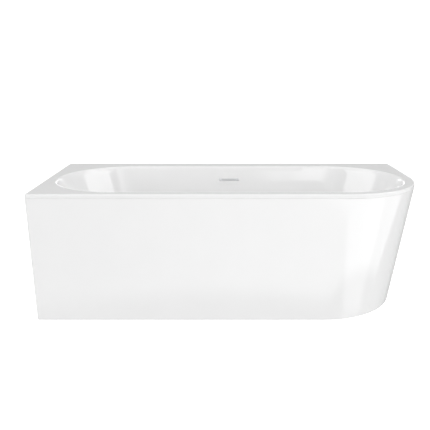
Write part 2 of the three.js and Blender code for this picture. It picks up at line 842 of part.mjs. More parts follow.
function overflowCutter(reach) {
  const { length, height, margin } = overflow;
  return atOverflow(pill(length - 2 * margin, height - margin, -reach, reach));
}

// The insert that shows in the basin: a thin face, a collar in the shell's slot, slots and two eyes.
function overflowGrille() {
  const { length, height, margin, frameThick, slots, slotLength, slotHeight, slotPitch } = overflow;
  const face = pill(length, height, -frameThick, -GAP);
  const collar = pill(length - 2 * margin - 2 * GAP, height - margin - 2 * GAP, -PAST, bath.wall);
  const slot = pill(slotLength, slotHeight, -frameThick - PAST, bath.wall + PAST);
  let made = face.add(collar);
  for (let i = 0; i < slots; i += 1) {
    made = made.subtract(slot.translate([(i - (slots - 1) / 2) * slotPitch, 0, 0]));
  }
  const eyeRadius = overflow.screwRadius + GAP;
  const eye = disc(eyeRadius, -frameThick - PAST, bath.wall + PAST, TINY).rotate([-90, 0, 0]);
  for (const side of [-1, 1]) made = made.subtract(eye.translate([side * overflowScrewX(), 0, 0]));
  return made;
}

function overflowScrewX() {
  return overflow.length / 2 - overflow.screwAside;
}

function overflowScrew() {
  const { frameThick, screwHead, screwHeadHeight, screwRadius, gasketThick, boxWall } = overflow;
  const headUnder = -frameThick - GAP;
  const head = disc(screwHead, headUnder - screwHeadHeight, headUnder, SMALL);
  const shank = disc(screwRadius, headUnder - PAST, bath.wall + gasketThick + boxWall + PAST, TINY);
  return head.add(shank).rotate([-90, 0, 0]);
}

const BOX_FACE = bath.wall + overflow.gasketThick + 3 * GAP;

function overflowGasket() {
  const low = bath.wall + 2 * GAP;
  const high = low + overflow.gasketThick;
  const long = overflow.length + 2 * (overflow.boxBeyond - overflow.gasketInset);
  const short = overflow.length - 2 * overflow.gasketLap;
  const outer = pill(long, overflow.boxHeight - 3 * overflow.gasketInset, low, high);
  return outer.subtract(pill(short, overflow.height, low - PAST, high + PAST));
}

// The box behind the slot, with a spigot that points down for the hose.
function overflowBox() {
  const { length, height, margin, boxDepth, boxHeight, boxWall, spigotLength, screwRadius } = overflow;
  const low = BOX_FACE;
  const high = low + boxDepth;
  const long = length + 2 * overflow.boxBeyond;
  const outer = pill(long, boxHeight, low, high);
  const hollow = pill(long - 2 * boxWall, boxHeight - 2 * boxWall, low + boxWall, high - boxWall);
  const inside = low + boxWall + PAST;
  const mouth = pill(2 * overflowScrewX() - 4 * screwRadius, height - margin, low - PAST, inside);
  const pilot = disc(screwRadius + GAP, low - PAST, inside, TINY).rotate([-90, 0, 0]);
  const under = -boxHeight / 2;
  const onSpigot = (made) => made.translate([0, low + boxDepth / 2, 0]);
  const spigot = onSpigot(disc(HOSE_SPIGOT, under - spigotLength, under + PAST, SMALL));
  const bore = onSpigot(disc(HOSE_BORE, under - spigotLength - PAST, under + 2 * boxWall, SMALL));
  return outer
    .add(spigot)
    .subtract(hollow)
    .subtract(mouth)
    .subtract(bore)
    .subtract(pilot.translate([-overflowScrewX(), 0, 0]))
    .subtract(pilot.translate([overflowScrewX(), 0, 0]));
}

// A point on the overflow box's spigot, this far below the slot's middle along the leaning wall.
function spigotPoint(along) {
  const aside = BOX_FACE + overflow.boxDepth / 2;
  const { lean, y } = overflowWall;
  return new THREE.Vector3(
    opening.x,
    y + aside * Math.cos(lean) - along * Math.sin(lean),
    OVERFLOW_HEIGHT - aside * Math.sin(lean) - along * Math.cos(lean),
  );
}

const HOSE_TOP = overflow.boxHeight / 2 + overflow.spigotLength - hose.grip;
const HOSE_END = waste.innerRadius + waste.wall + waste.hoseInletReach;

// The overflow hose, from the box's spigot down behind the basin and under the back rail to the waste body.
function hoseCurve() {
  const behind = ([share, aside]) => {
    const z = THREE.MathUtils.lerp(BOARD_UNDER, OVERFLOW_HEIGHT, share);
    const wall = backWallAt(Math.max(z, basin.floorHeight + 2 * basin.floorFall));
    const away = Math.min(1 / Math.cos(wall.lean), hose.steepest);
    const y = wall.y + bath.wall + (hose.radius + hose.clear) * away;
    return new THREE.Vector3(opening.x - aside * hose.sideways, y, z);
  };
  const inlet = (grips) =>
    new THREE.Vector3(drain.x - HOSE_END - grips * hose.grip, opening.y, waste.hoseInletHeight);
  const lowest = RAIL_UNDER - hose.radius - hose.clear;
  const side = opening.x - hose.sideways;
  const rail = opening.y + RAIL_ASIDE;
  const { turn } = hose;
  return new THREE.CatmullRomCurve3(
    [
      ...[0, 1, 2, 3].map((grips) => spigotPoint(HOSE_TOP + grips * hose.grip)),
      ...hose.way.map(behind),
      new THREE.Vector3(side, rail + frame.tube, lowest),
      new THREE.Vector3(side, rail - frame.tube, lowest + hose.railRise),
      new THREE.Vector3(
        opening.x - turn.aside * hose.sideways,
        opening.y + turn.along * RAIL_ASIDE,
        lowest + turn.up,
      ),
      ...hose.straight.map(inlet),
    ],
    false,
    "centripetal",
  );
}

function overflowHose() {
  return sweptTube(hoseCurve(), hose.radius, hose.radius - hose.wall, HOSE_STEPS);
}

// The clamping ring round an end of the hose.
function hoseNut() {
  const inner = hose.radius + 2 * GAP;
  return ring(inner, inner + hose.nutWall, 0, hose.nutLength, SMALL);
}

function addShells() {
  add("bath_shell", bathShell(), materials.acrylic);
  add("apron", apronShell(), materials.acrylic);
  add("base_board", baseBoard(), materials.wood);
  const high = TOP - bath.wall - GAP;
  const low = high - batten.thick;
  const backFace = BACK - bath.wall - GAP;
  const leftFace = LEFT + bath.wall + GAP;
  const long = bath.length / 2 - batten.backInset;
  const short = bath.depth / 2 - batten.leftInset;
  const backBatten = box(-long, long, backFace - batten.backWidth, backFace, low, high);
  const leftBatten = box(leftFace, leftFace + batten.leftWidth, -short, short, low, high);
  add("rim_batten_back", backBatten, materials.wood);
  add("rim_batten_left", leftBatten, materials.wood);
}

function addFrame() {
  add("frame_rail_front", frameRail(), materials.steel, [0, opening.y - RAIL_ASIDE, 0]);
  add("frame_rail_back", frameRail(), materials.steel, [0, opening.y + RAIL_ASIDE, 0]);
  BAR_PLACES.forEach((x, i) => {
    add(`frame_bar_${i + 1}`, frameBar(), materials.steel, [x, opening.y, 0]);
    add(`apron_bracket_${i + 1}`, apronBracket(), materials.steel, [x, opening.y, 0]);
  });
  screwPlaces().forEach(([x, y], i) => {
    add(`frame_screw_${i + 1}`, frameScrew(), materials.steel, [x, y, 0]);
  });
  const feet = [-1, 1].flatMap((side) => BAR_PLACES.map((x) => [x, opening.y + side * FOOT_ASIDE, 0]));
  feet.forEach((place, i) => {
    add(`foot_${i + 1}_pad`, footPad(), materials.darkPlastic, place);
    add(`foot_${i + 1}_stud`, footStud(), materials.steel, place);
    add(`foot_${i + 1}_locknut`, footNut(), materials.steel, place);
  });
}

function addWaste() {
  const place = [drain.x, opening.y, 0];
  add("waste_flange", wasteFlange(), materials.chrome, place);
  add("flange_gasket", flangeGasket(), materials.rubber, place);
  add("click_cartridge", clickCartridge(), materials.brass, place);
  add("plug_cap", plugCap(), materials.chrome, place);
  add("plug_seal", plugSeal(), materials.rubber, place);
  add("plug_stem", plugStem(), materials.brass, place);
  add("waste_body", wasteBody(), materials.plastic, place);
  add("waste_seal", wasteSeal(), materials.rubber, place);
  add("trap_nut", trapNut(), materials.darkPlastic, place);
  add("trap_cup", trapCup(), materials.plastic, place);
  add("outlet_pipe", outletPipe(), materials.plastic, place);
  add("outlet_nut", outletNut(), materials.darkPlastic, place);
}

function addOverflow() {
  add("overflow_grille", atOverflow(overflowGrille()), materials.chrome);
  add("overflow_gasket", atOverflow(overflowGasket()), materials.rubber);
  add("overflow_box", atOverflow(overflowBox()), materials.plastic);
  [-1, 1].forEach((side, i) => {
    const made = overflowScrew().translate([side * overflowScrewX(), 0, 0]);
    add(`overflow_screw_${i + 1}`, atOverflow(made), materials.chrome);
  });
  const underBox = BOX_FACE + overflow.boxDepth / 2;
  const topNut = hoseNut().translate([0, underBox, -HOSE_TOP - hose.nutLength + hose.nutBefore]);
  const inlet = [drain.x - HOSE_END + hose.nutBefore, opening.y, waste.hoseInletHeight];
  add("overflow_hose", overflowHose(), materials.plastic);
  add("hose_nut_top", atOverflow(topNut), materials.darkPlastic);
  add("hose_nut_bottom", hoseNut().rotate([0, -90, 0]), materials.darkPlastic, inlet);
}

addShells();
addFrame();
addWaste();
addOverflow();

export default bathtub;
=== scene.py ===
"""The looks of the corner bathtub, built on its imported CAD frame. Metres, +Z up, +Y towards the back wall."""
import math

import bpy
import numpy as np
from mathutils import Matrix, Vector


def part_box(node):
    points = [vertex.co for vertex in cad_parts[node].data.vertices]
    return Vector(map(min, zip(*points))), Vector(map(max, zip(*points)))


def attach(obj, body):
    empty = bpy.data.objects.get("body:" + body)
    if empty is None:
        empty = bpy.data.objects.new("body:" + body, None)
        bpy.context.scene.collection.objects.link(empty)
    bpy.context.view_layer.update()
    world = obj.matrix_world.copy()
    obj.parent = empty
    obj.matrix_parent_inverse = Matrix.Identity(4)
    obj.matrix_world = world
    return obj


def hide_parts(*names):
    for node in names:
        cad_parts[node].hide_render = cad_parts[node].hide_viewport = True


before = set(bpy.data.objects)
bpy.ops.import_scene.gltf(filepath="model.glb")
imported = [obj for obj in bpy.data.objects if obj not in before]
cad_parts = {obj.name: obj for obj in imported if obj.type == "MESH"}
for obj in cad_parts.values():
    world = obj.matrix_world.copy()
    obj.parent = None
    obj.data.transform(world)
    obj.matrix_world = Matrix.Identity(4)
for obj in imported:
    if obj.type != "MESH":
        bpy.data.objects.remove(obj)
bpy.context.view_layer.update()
scene = bpy.context.scene

MM = 0.001

# ---- Sizes ----

shell_low, shell_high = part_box("bath_shell")
apron_low, apron_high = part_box("apron")
LEFT, RIGHT = shell_low.x, shell_high.x
FRONT, BACK = shell_low.y, shell_high.y
TOP = shell_high.z
SHELL_UNDER = shell_low.z
WALL = 8 * MM
CORNER = 360 * MM  # the rounded front right corner
FOOT_CORNER = 370 * MM  # the same corner at the apron's foot
SMALL_CORNER = 12 * MM
RIM_EDGE = 5 * MM
LIP = 17 * MM
TAPER_FRONT = 32 * MM
TAPER_RIGHT = 73 * MM
APRON_WALL = 6 * MM
APRON_FLANGE = 26 * MM
APRON_RETURN = 60 * MM

RIM_SIDE = 42 * MM
RIM_FRONT = 35 * MM
RIM_BACK = 90 * MM
ROLL = 12 * MM
END_REACH = 330 * MM
FLOOR_HEIGHT = SHELL_UNDER + WALL
FLOOR_FALL = 5 * MM
FLOOR_HALF_LENGTH = 500 * MM
FLOOR_HALF_WIDTH = 170 * MM
FLOOR_END_REACH = 150 * MM
OPEN_HALF_LENGTH = (RIGHT - LEFT) / 2 - RIM_SIDE
OPEN_HALF_WIDTH = (BACK - FRONT - RIM_FRONT - RIM_BACK) / 2
BASIN_Y = (FRONT + RIM_FRONT + BACK - RIM_BACK) / 2
STRAIGHT = OPEN_HALF_LENGTH - END_REACH

RECESS_RADIUS = 38 * MM
RECESS_DEPTH = 4 * MM
HOLE_RADIUS = 27 * MM
DRAIN = Vector((0, BASIN_Y, 0))

CORNER_STEPS = 36  # points round each corner and quarter of the basin's ends
SIDE_STEPS = 40  # points along the straight front and back
WALL_STEPS = 44  # levels up the basin's wall on its face
UNDER_STEPS = 36  # the same on its hidden side


# ---- Mesh helpers ----

def link(obj):
    scene.collection.objects.link(obj)
    return obj


def new_object(name, vertices, faces, materials, face_slots=None, smooth_angle=35):
    """A mesh object from points and faces, smooth except over edges sharper than the angle."""
    mesh = bpy.data.meshes.new(name)
    mesh.from_pydata([tuple(v) for v in vertices], [], faces)
    for material in materials:
        mesh.materials.append(material)
    if face_slots is not None:
        mesh.polygons.foreach_set("material_index", face_slots)
    mesh.validate()
    obj = link(bpy.data.objects.new(name, mesh))
    shade(obj, smooth_angle)
    return obj


def shade(obj, angle=35):
    obj.data.shade_smooth()
    obj.data.set_sharp_from_angle(angle=math.radians(angle))


def ring_faces(count, rings, wrap):
    """Quads between consecutive rings of count points; wrap joins the last ring to the first."""
    faces = []
    for level in range(rings if wrap else rings - 1):
        low, high = level * count, ((level + 1) % rings) * count
        for i in range(count):
            j = (i + 1) % count
            faces.append((low + i, low + j, high + j, high + i))
    return faces


def mm(*points):
    """Profile points in metres from millimetres: [radius, height], or [radius, base, height above the base].

    The base is in metres."""
    return [(p[0] * MM, p[-1] * MM if len(p) == 2 else p[1] + p[2] * MM) for p in points]


def lathe_mesh(profile, segments=64):
    """Points and faces of a solid turned about Z from [radius, height] pairs that run up its outside.

    A profile that starts and ends on the axis is capped there; any other closes on itself."""
    angles = np.linspace(0, 2 * math.pi, segments, endpoint=False)
    capped = profile[0][0] == 0
    body = profile[1:-1] if capped else profile
    vertices = [(r * math.cos(a), r * math.sin(a), z) for r, z in body for a in angles]
    faces = ring_faces(segments, len(body), wrap=not capped)
    if capped:
        low, high = len(vertices), len(vertices) + 1
        vertices += [(0, 0, profile[0][1]), (0, 0, profile[-1][1])]
        top = (len(body) - 1) * segments
        for i in range(segments):
            j = (i + 1) % segments
            faces.append((low, j, i))
            faces.append((high, top + i, top + j))
    return vertices, faces


def rounded(points, radius, steps=4):
    """A closed profile with each corner rounded; radius is one number or one for each corner."""
    result = []
    count = len(points)
    for i, corner in enumerate(points):
        r = radius[i] if isinstance(radius, (list, tuple)) else radius
        here = Vector(corner)
        before, after = Vector(points[i - 1]), Vector(points[(i + 1) % count])
        to_before, to_after = (before - here), (after - here)
        angle = to_before.angle(to_after)
        if r <= 0 or angle > math.radians(179):
            result.append(tuple(here))
            continue
        reach = min(r / math.tan(angle / 2), to_before.length * 0.45, to_after.length * 0.45)
        start = here + to_before.normalized() * reach
        end = here + to_after.normalized() * reach
        for step in range(steps + 1):
            t = step / steps
            result.append(tuple(start * (1 - t) ** 2 + here * 2 * t * (1 - t) + end * t ** 2))
    return result


def turned(name, profile, material, place=DRAIN, segments=64, radius=0.4 * MM):
    """A turned piece. A profile that touches the axis keeps its two end points."""
    if profile[0][0] == 0:
        inner = rounded([(0, profile[0][1] - 1)] + profile[1:-1] + [(0, profile[-1][1] + 1)], radius)
        inner = [p for p in inner if p[0] > 0.05 * MM and profile[0][1] - 1e-6 <= p[1] <= profile[-1][1]
            + 1e-6]
        profile = [profile[0]] + inner + [profile[-1]]
    else:
        profile = rounded(profile, radius)
    vertices, faces = lathe_mesh(profile, segments)
    return new_object(name, [Vector(v) + place for v in vertices], faces, [material])


def apply_modifiers(obj):
    """Bakes an object's modifiers into its mesh."""
    depsgraph = bpy.context.evaluated_depsgraph_get()
    depsgraph.update()
    made = bpy.data.meshes.new_from_object(obj.evaluated_get(depsgraph))
    obj.modifiers.clear()
    old = obj.data
    obj.data = made
    made.name = obj.name
    bpy.data.meshes.remove(old)


def combine(obj, others, operation="DIFFERENCE"):
    """Cuts others from obj, or joins them to it, and removes them."""
    for other in others:
        modifier = obj.modifiers.new("boolean", "BOOLEAN")
        modifier.operation = operation
        modifier.solver = "EXACT"
        modifier.object = other
        apply_modifiers(obj)
    for other in others:
        bpy.data.objects.remove(other)
    return obj


def soften(obj, width, segments=2, angle=40):
    """Rounds an object's sharp edges."""
    modifier = obj.modifiers.new("bevel", "BEVEL")
    modifier.width = width
    modifier.segments = segments
    modifier.limit_method = "ANGLE"
    modifier.angle_limit = math.radians(angle)
    apply_modifiers(obj)
    shade(obj, 35)
    return obj


def even_normals(obj):
    """Lets the large flat faces keep their own normals up to the rounded edges."""
    modifier = obj.modifiers.new("normals", "WEIGHTED_NORMAL")
    modifier.weight = 100
    modifier.keep_sharp = True
    apply_modifiers(obj)


def block(name, low, high, material, edge=1 * MM):
    """A box with rounded edges."""
    x, y, z = zip(low, high)
    vertices = [(a, b, c) for c in z for b in y for a in x]
    faces = [(0, 2, 3, 1), (4, 5, 7, 6), (0, 1, 5, 4), (2, 6, 7, 3), (0, 4, 6, 2), (1, 3, 7, 5)]
    obj = new_object(name, vertices, faces, [material])
    return soften(obj, edge) if edge else obj


def extruded(name, outline, low, high, material, edge=0.4 * MM):
    """An upright prism of a plan outline that turns counter-clockwise."""
    count = len(outline)
    vertices = [(x, y, z) for z in (low, high) for x, y in outline]
    faces = ring_faces(count, 2, wrap=False)
    faces += [tuple(reversed(range(count))), tuple(range(count, 2 * count))]
    obj = new_object(name, vertices, faces, [material])
    return soften(obj, edge) if edge else obj


def move(obj, matrix):
    obj.data.transform(matrix)
    obj.data.update()
    return obj


def rotation(degrees, axis="Z"):
    return Matrix.Rotation(math.radians(degrees), 4, axis)


def hexagon(flats):
    radius = flats / math.sqrt(3)
    return [(radius * math.cos(a), radius * math.sin(a)) for a in np.radians(np.arange(0, 360, 60))]


def pill(length, height, steps=16):
    """A plan outline with straight sides and round ends."""
    r = height / 2
    straight = length / 2 - r
    right = [(straight + r * math.cos(a), r * math.sin(a))
        for a in np.radians(np.linspace(-90, 90, steps + 1))]
    return right + [(-x, -y) for x, y in right]


def place_piece(obj, body, node):
    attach(obj, body)
    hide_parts(node)


def place_at_drain(obj, body, node):
    """Places a piece that was modelled about the drain's axis."""
    shade(obj, 40)
    move(obj, Matrix.Translation(DRAIN))
    place_piece(obj, body, node)


# ---- Materials ----

class Tree:
    """A small builder for a node tree."""

    def __init__(self, tree):
        self.tree = tree

    def node(self, kind, inputs=(), **settings):
        made = self.tree.nodes.new("ShaderNode" + kind)
        for key, value in settings.items():
            setattr(made, key, value)
        for key, value in dict(inputs).items():
            self.feed(made.inputs[key], value)
        return made

    def feed(self, socket, value):
        if isinstance(value, bpy.types.NodeSocket):
            self.tree.links.new(value, socket)
        else:
            socket.default_value = value

    def math(self, operation, a, b=0.0):
        made = self.node("Math", operation=operation)
        self.feed(made.inputs[0], a)
        self.feed(made.inputs[1], b)
        return made.outputs[0]

    def fit(self, value, low, high, start=0.0, end=1.0, kind="LINEAR"):
        """Maps start..end to low..high, and holds the ends."""
        inputs = {"Value": value, "From Min": start, "From Max": end, "To Min": low, "To Max": high}
        return self.node("MapRange", inputs, interpolation_type=kind).outputs["Result"]


class Nodes(Tree):
    """A material and the builder of its nodes."""

    def __init__(self, name):
        self.material = bpy.data.materials.new(name)
        self.material.use_nodes = True
        super().__init__(self.material.node_tree)
        self.shader = self.tree.nodes["Principled BSDF"]
        self.where = self.tree.nodes.new("ShaderNodeTexCoord").outputs["Object"]

    def scaled(self, scale):
        return self.node("Mapping", {"Vector": self.where, "Scale": scale}).outputs["Vector"]

    def noise(self, scale, detail=4.0, roughness=0.55, vector=None):
        made = self.node("TexNoise", {"Vector": vector or self.where, "Scale": scale, "Detail": detail,
                                      "Roughness": roughness})
        return made.outputs["Fac"]

    def voronoi(self, scale, output):
        return self.node("TexVoronoi", {"Vector": self.where, "Scale": scale}).outputs[output]

    def ramp(self, factor, stops):
        made = self.node("ValToRGB", {"Fac": factor})
        elements = made.color_ramp.elements
        while len(elements) < len(stops):
            elements.new(0.5)
        for element, (position, color) in zip(elements, stops):
            element.position = position
            element.color = (*color, 1) if len(color) == 3 else color
        return made.outputs["Color"]

    def mix(self, factor, a, b):
        made = self.node("Mix", data_type="RGBA")
        self.feed(made.inputs[0], factor)
        self.feed(made.inputs[6], a)
        self.feed(made.inputs[7], b)
        return made.outputs[2]

    def bump(self, height, distance, strength=1.0, below=None):
        inputs = {"Height": height, "Distance": distance, "Strength": strength}
        if below is not None:
            inputs["Normal"] = below
        return self.node("Bump", inputs).outputs["Normal"]

    def finish(self, color, roughness, normal=None, **sockets):
        self.feed(self.shader.inputs["Base Color"], color)
        self.feed(self.shader.inputs["Roughness"], roughness)
        if normal is not None:
            self.feed(self.shader.inputs["Normal"], normal)
        for key, value in sockets.items():
            self.feed(self.shader.inputs[key.replace("_", " ")], value)
        return self.material


def grey(value):
    return (value, value, value, 1)


def acrylic():
    """Vacuum formed white acrylic: high gloss with a faint long wave and a trace of polish."""
    n = Nodes("acrylic")
    wave = n.noise(9, 2.0, 0.4)
    polish = n.noise(160, 3.0, 0.6)
    color = n.mix(wave, grey(0.865), grey(0.885))
    return n.finish(color, n.fit(polish, 0.03, 0.07), n.bump(wave, 0.25 * MM, 0.35), IOR=1.49,
                    Specular_IOR_Level=1.0)


def glass_fibre():
    """Sprayed polyester and chopped glass strand: cream, matt, with strands lying all ways."""
    n = Nodes("glass_fibre")
    strands = None
    for turn, (scale, squeeze) in enumerate(((34, 9), (41, 8), (29, 10), (37, 9))):
        rotation = (0.5 * turn, 0.35 * turn, math.radians(20 + 47 * turn))
        vector = n.node("Mapping", {"Vector": n.where, "Rotation": rotation,
            "Scale": (squeeze, 1, squeeze)})
        line = n.noise(scale, 1.0, 0.5, vector.outputs["Vector"])
        strands = line if strands is None else n.math("MAXIMUM", strands, line)
    lumps = n.noise(22, 4.0, 0.6)
    cream = n.ramp(strands, [(0.5, (0.60, 0.57, 0.47)), (0.72, (0.78, 0.76, 0.68))])
    color = n.mix(n.fit(lumps, 0.0, 0.45), cream, (0.50, 0.46, 0.34, 1))
    normal = n.bump(strands, 0.8 * MM, 0.7, n.bump(lumps, 2.5 * MM, 0.8))
    return n.finish(color, n.fit(lumps, 0.34, 0.55), normal)


def galvanised():
    n = Nodes("galvanised_steel")
    spangle = n.voronoi(130, "Color")
    tone = n.node("SeparateColor", {"Color": spangle}).outputs[0]
    streaks = n.noise(20, 4.0, 0.7, n.scaled((2, 40, 40)))
    color = n.mix(tone, (0.52, 0.54, 0.56, 1), (0.68, 0.70, 0.72, 1))
    color = n.mix(n.fit(n.noise(6, 3.0), 0.0, 0.35), color, (0.42, 0.43, 0.44, 1))
    rough = n.math("ADD", n.fit(tone, 0.24, 0.38), n.fit(streaks, -0.03, 0.06))
    return n.finish(color, rough, n.bump(tone, 0.03 * MM, 0.6), Metallic=1.0)


def zinc():
    n = Nodes("bright_zinc")
    haze = n.noise(70, 4.0, 0.6)
    color = n.mix(haze, (0.70, 0.71, 0.73, 1), (0.56, 0.58, 0.62, 1))
    return n.finish(color, n.fit(haze, 0.2, 0.36), n.bump(n.noise(600, 2.0), 0.02 * MM, 0.5), Metallic=1.0)


def chrome():
    n = Nodes("chrome")
    haze = n.noise(45, 3.0, 0.5)
    color = n.mix(haze, (0.80, 0.81, 0.83, 1), (0.88, 0.885, 0.895, 1))
    return n.finish(color, n.fit(haze, 0.03, 0.075), n.bump(n.noise(12, 2.0), 0.04 * MM, 0.3), Metallic=1.0)


def brass():
    n = Nodes("brass")
    turning = n.noise(30, 3.0, 0.6, n.scaled((1, 1, 90)))
    color = n.mix(turning, (0.70, 0.52, 0.22, 1), (0.84, 0.67, 0.34, 1))
    return n.finish(color, n.fit(turning, 0.18, 0.34), n.bump(turning, 0.03 * MM, 0.5), Metallic=1.0)


def rubber():
    n = Nodes("rubber")
    bloom = n.noise(90, 5.0, 0.65)
    color = n.mix(bloom, (0.022, 0.022, 0.023, 1), (0.05, 0.05, 0.052, 1))
    return n.finish(color, n.fit(bloom, 0.55, 0.78), n.bump(n.noise(900, 2.0), 0.05 * MM, 0.6))


def plastic(name, dark, light, rough=(0.32, 0.44)):
    """Moulded plastic with a fine spark-eroded grain and slight flow marks."""
    n = Nodes(name)
    flow = n.noise(14, 3.0, 0.5)
    grain = n.voronoi(1400, "Distance")
    color = n.mix(flow, dark, light)
    return n.finish(color, n.fit(flow, *rough), n.bump(grain, 0.04 * MM, 0.45))


def softwood():
    n = Nodes("sawn_softwood")
    along = n.scaled((1.2, 14, 14))
    rings = n.node("TexWave", {"Vector": along, "Scale": 6.0, "Distortion": 6.0, "Detail": 3.0,
                               "Detail Scale": 1.6}, wave_type="RINGS", rings_direction="X")
    fibre = n.noise(60, 5.0, 0.7, n.scaled((3, 60, 60)))
    color = n.ramp(rings.outputs["Fac"], [(0.1, (0.72, 0.54, 0.33)), (0.75, (0.60, 0.40, 0.20)),
                                          (0.95, (0.46, 0.28, 0.13))])
    color = n.mix(n.fit(fibre, 0.0, 0.4), color, (0.80, 0.64, 0.42, 1))
    return n.finish(color, n.fit(fibre, 0.6, 0.82), n.bump(fibre, 0.35 * MM, 0.7))


def particle_board():
    n = Nodes("particle_board")
    chips = n.voronoi(210, "Color")
    tone = n.node("SeparateColor", {"Color": chips}).outputs[1]
    edge = n.voronoi(210, "Distance")
    color = n.ramp(tone, [(0.0, (0.34, 0.22, 0.12)), (0.45, (0.55, 0.40, 0.24)), (1.0, (0.72, 0.58, 0.38))])
    color = n.mix(n.fit(n.noise(30, 4.0), 0.0, 0.3), color, (0.60, 0.56, 0.46, 1))
    return n.finish(color, n.fit(tone, 0.55, 0.8), n.bump(edge, 0.6 * MM, 0.6))


ACRYLIC = acrylic()
GLASS_FIBRE = glass_fibre()
GALVANISED = galvanised()
ZINC = zinc()
CHROME = chrome()
BRASS = brass()
RUBBER = rubber()
WHITE_PLASTIC = plastic("white_polypropylene", (0.70, 0.71, 0.71, 1), (0.80, 0.81, 0.81, 1))
GREY_PLASTIC = plastic("grey_plastic", (0.16, 0.165, 0.175, 1), (0.22, 0.225, 0.235, 1))
BLACK_PLASTIC = plastic("black_plastic", (0.016, 0.016, 0.018, 1), (0.032, 0.032, 0.034, 1), (0.42, 0.56))
SOFTWOOD = softwood()
PARTICLE_BOARD = particle_board()


# ---- Plan loops: matching points round the bath's outline and round the basin ----

def line(start, end, steps):
    """Points from start up to, but not with, end."""
    t = np.linspace(0, 1, steps, endpoint=False)[:, None]
    return np.array(start) * (1 - t) + np.array(end) * t


def arc(centre, radii, first, last, steps):
    angle = np.radians(np.linspace(first, last, steps, endpoint=False))
    return np.stack([centre[0] + radii[0] * np.cos(angle), centre[1] + radii[1] * np.sin(angle)], axis=1)


def outline_loop(inset=0.0, down=0.0):
    """The outline, counter-clockwise from its right end; down is 0 at the rim and 1 at the apron's foot."""
    left, back = LEFT + inset, BACK - inset
    right = RIGHT - TAPER_RIGHT * down - inset
    front = FRONT + TAPER_FRONT * down + inset
    small = max(SMALL_CORNER - inset, 0.5 * MM)
    large = CORNER + (FOOT_CORNER - CORNER) * down - inset
    turn, side = 10, (CORNER_STEPS - 10) // 2
    rest = CORNER_STEPS - turn - side
    across = min(STRAIGHT, right - large)
    return np.concatenate([
        line((right, front + large), (right, back - small), side),
        arc((right - small, back - small), (small, small), 0, 90, turn),
        line((right - small, back), (STRAIGHT, back), rest),
        line((STRAIGHT, back), (-STRAIGHT, back), SIDE_STEPS),
        line((-STRAIGHT, back), (left + small, back), rest),
        arc((left + small, back - small), (small, small), 90, 180, turn),
        line((left, back - small), (left, BASIN_Y), side),
        line((left, BASIN_Y), (left, front + small), side),
        arc((left + small, front + small), (small, small), 180, 270, turn),
        line((left + small, front), (-STRAIGHT, front), rest),
        line((-STRAIGHT, front), (across, front), SIDE_STEPS),
        line((across, front), (right - large, front), 2),
        arc((right - large, front + large), (large, large), 270, 360, CORNER_STEPS - 2),
    ])


def basin_loop(half_length, half_width, reach, grow=0.0):
    """A basin level: straight sides and half-elliptical ends, with points that match the outline's."""
    straight = half_length - reach
    radii = (reach + grow, half_width + grow)
    width = half_width + grow
    return np.concatenate([
        arc((straight, BASIN_Y), radii, 0, 90, CORNER_STEPS),
        line((straight, BASIN_Y + width), (-straight, BASIN_Y + width), SIDE_STEPS),
        arc((-straight, BASIN_Y), radii, 90, 180, CORNER_STEPS),
        arc((-straight, BASIN_Y), radii, 180, 270, CORNER_STEPS),
        line((-straight, BASIN_Y - width), (straight, BASIN_Y - width), SIDE_STEPS),
        arc((straight, BASIN_Y), radii, 270, 360, CORNER_STEPS),
    ])


def level(points, z):
    return np.column_stack([points, np.broadcast_to(z, len(points))])


# ---- The shell ----

FLOOR_EDGE = FLOOR_HEIGHT + FLOOR_FALL
WALL_TOP = TOP - ROLL
HANDLE_FLOOR = 0.45  # the wall's profile: a cubic curve's handles, as shares of its run and its rise
HANDLE_WALL = (0.66, 0.3)


def wall_rings(grow, drop, steps):
    """The basin's wall from the floor's edge up to the rim's roll, tangent to it.

    Returns its rings, and at each of their points the way out and the lean where the roll begins."""
    floor = basin_loop(FLOOR_HALF_LENGTH, FLOOR_HALF_WIDTH, FLOOR_END_REACH, grow)
    top = basin_loop(OPEN_HALF_LENGTH - ROLL, OPEN_HALF_WIDTH - ROLL, END_REACH - ROLL, grow)
    run = np.linalg.norm(top - floor, axis=1)
    out = (top - floor) / run[:, None]
    rise = WALL_TOP - FLOOR_EDGE
    lean = np.zeros(len(run))
    for _ in range(6):
        reach = run + ROLL * (1 - np.cos(lean))
        height = rise + ROLL * np.sin(lean)
        lean = np.arctan2(reach - HANDLE_WALL[0] * run, height - HANDLE_WALL[1] * rise)
    rings = []
    for t in np.linspace(0, 1, steps):
        a, b, c = 3 * (1 - t) ** 2 * t, 3 * (1 - t) * t * t, t ** 3
        along = a * HANDLE_FLOOR * run + b * HANDLE_WALL[0] * run + c * reach
        up = b * HANDLE_WALL[1] * rise + c * height
        z = FLOOR_EDGE + up - drop * (1 - np.minimum(up / rise, 1))
        rings.append(level(floor + out * along[:, None], z))
    return rings, out, lean


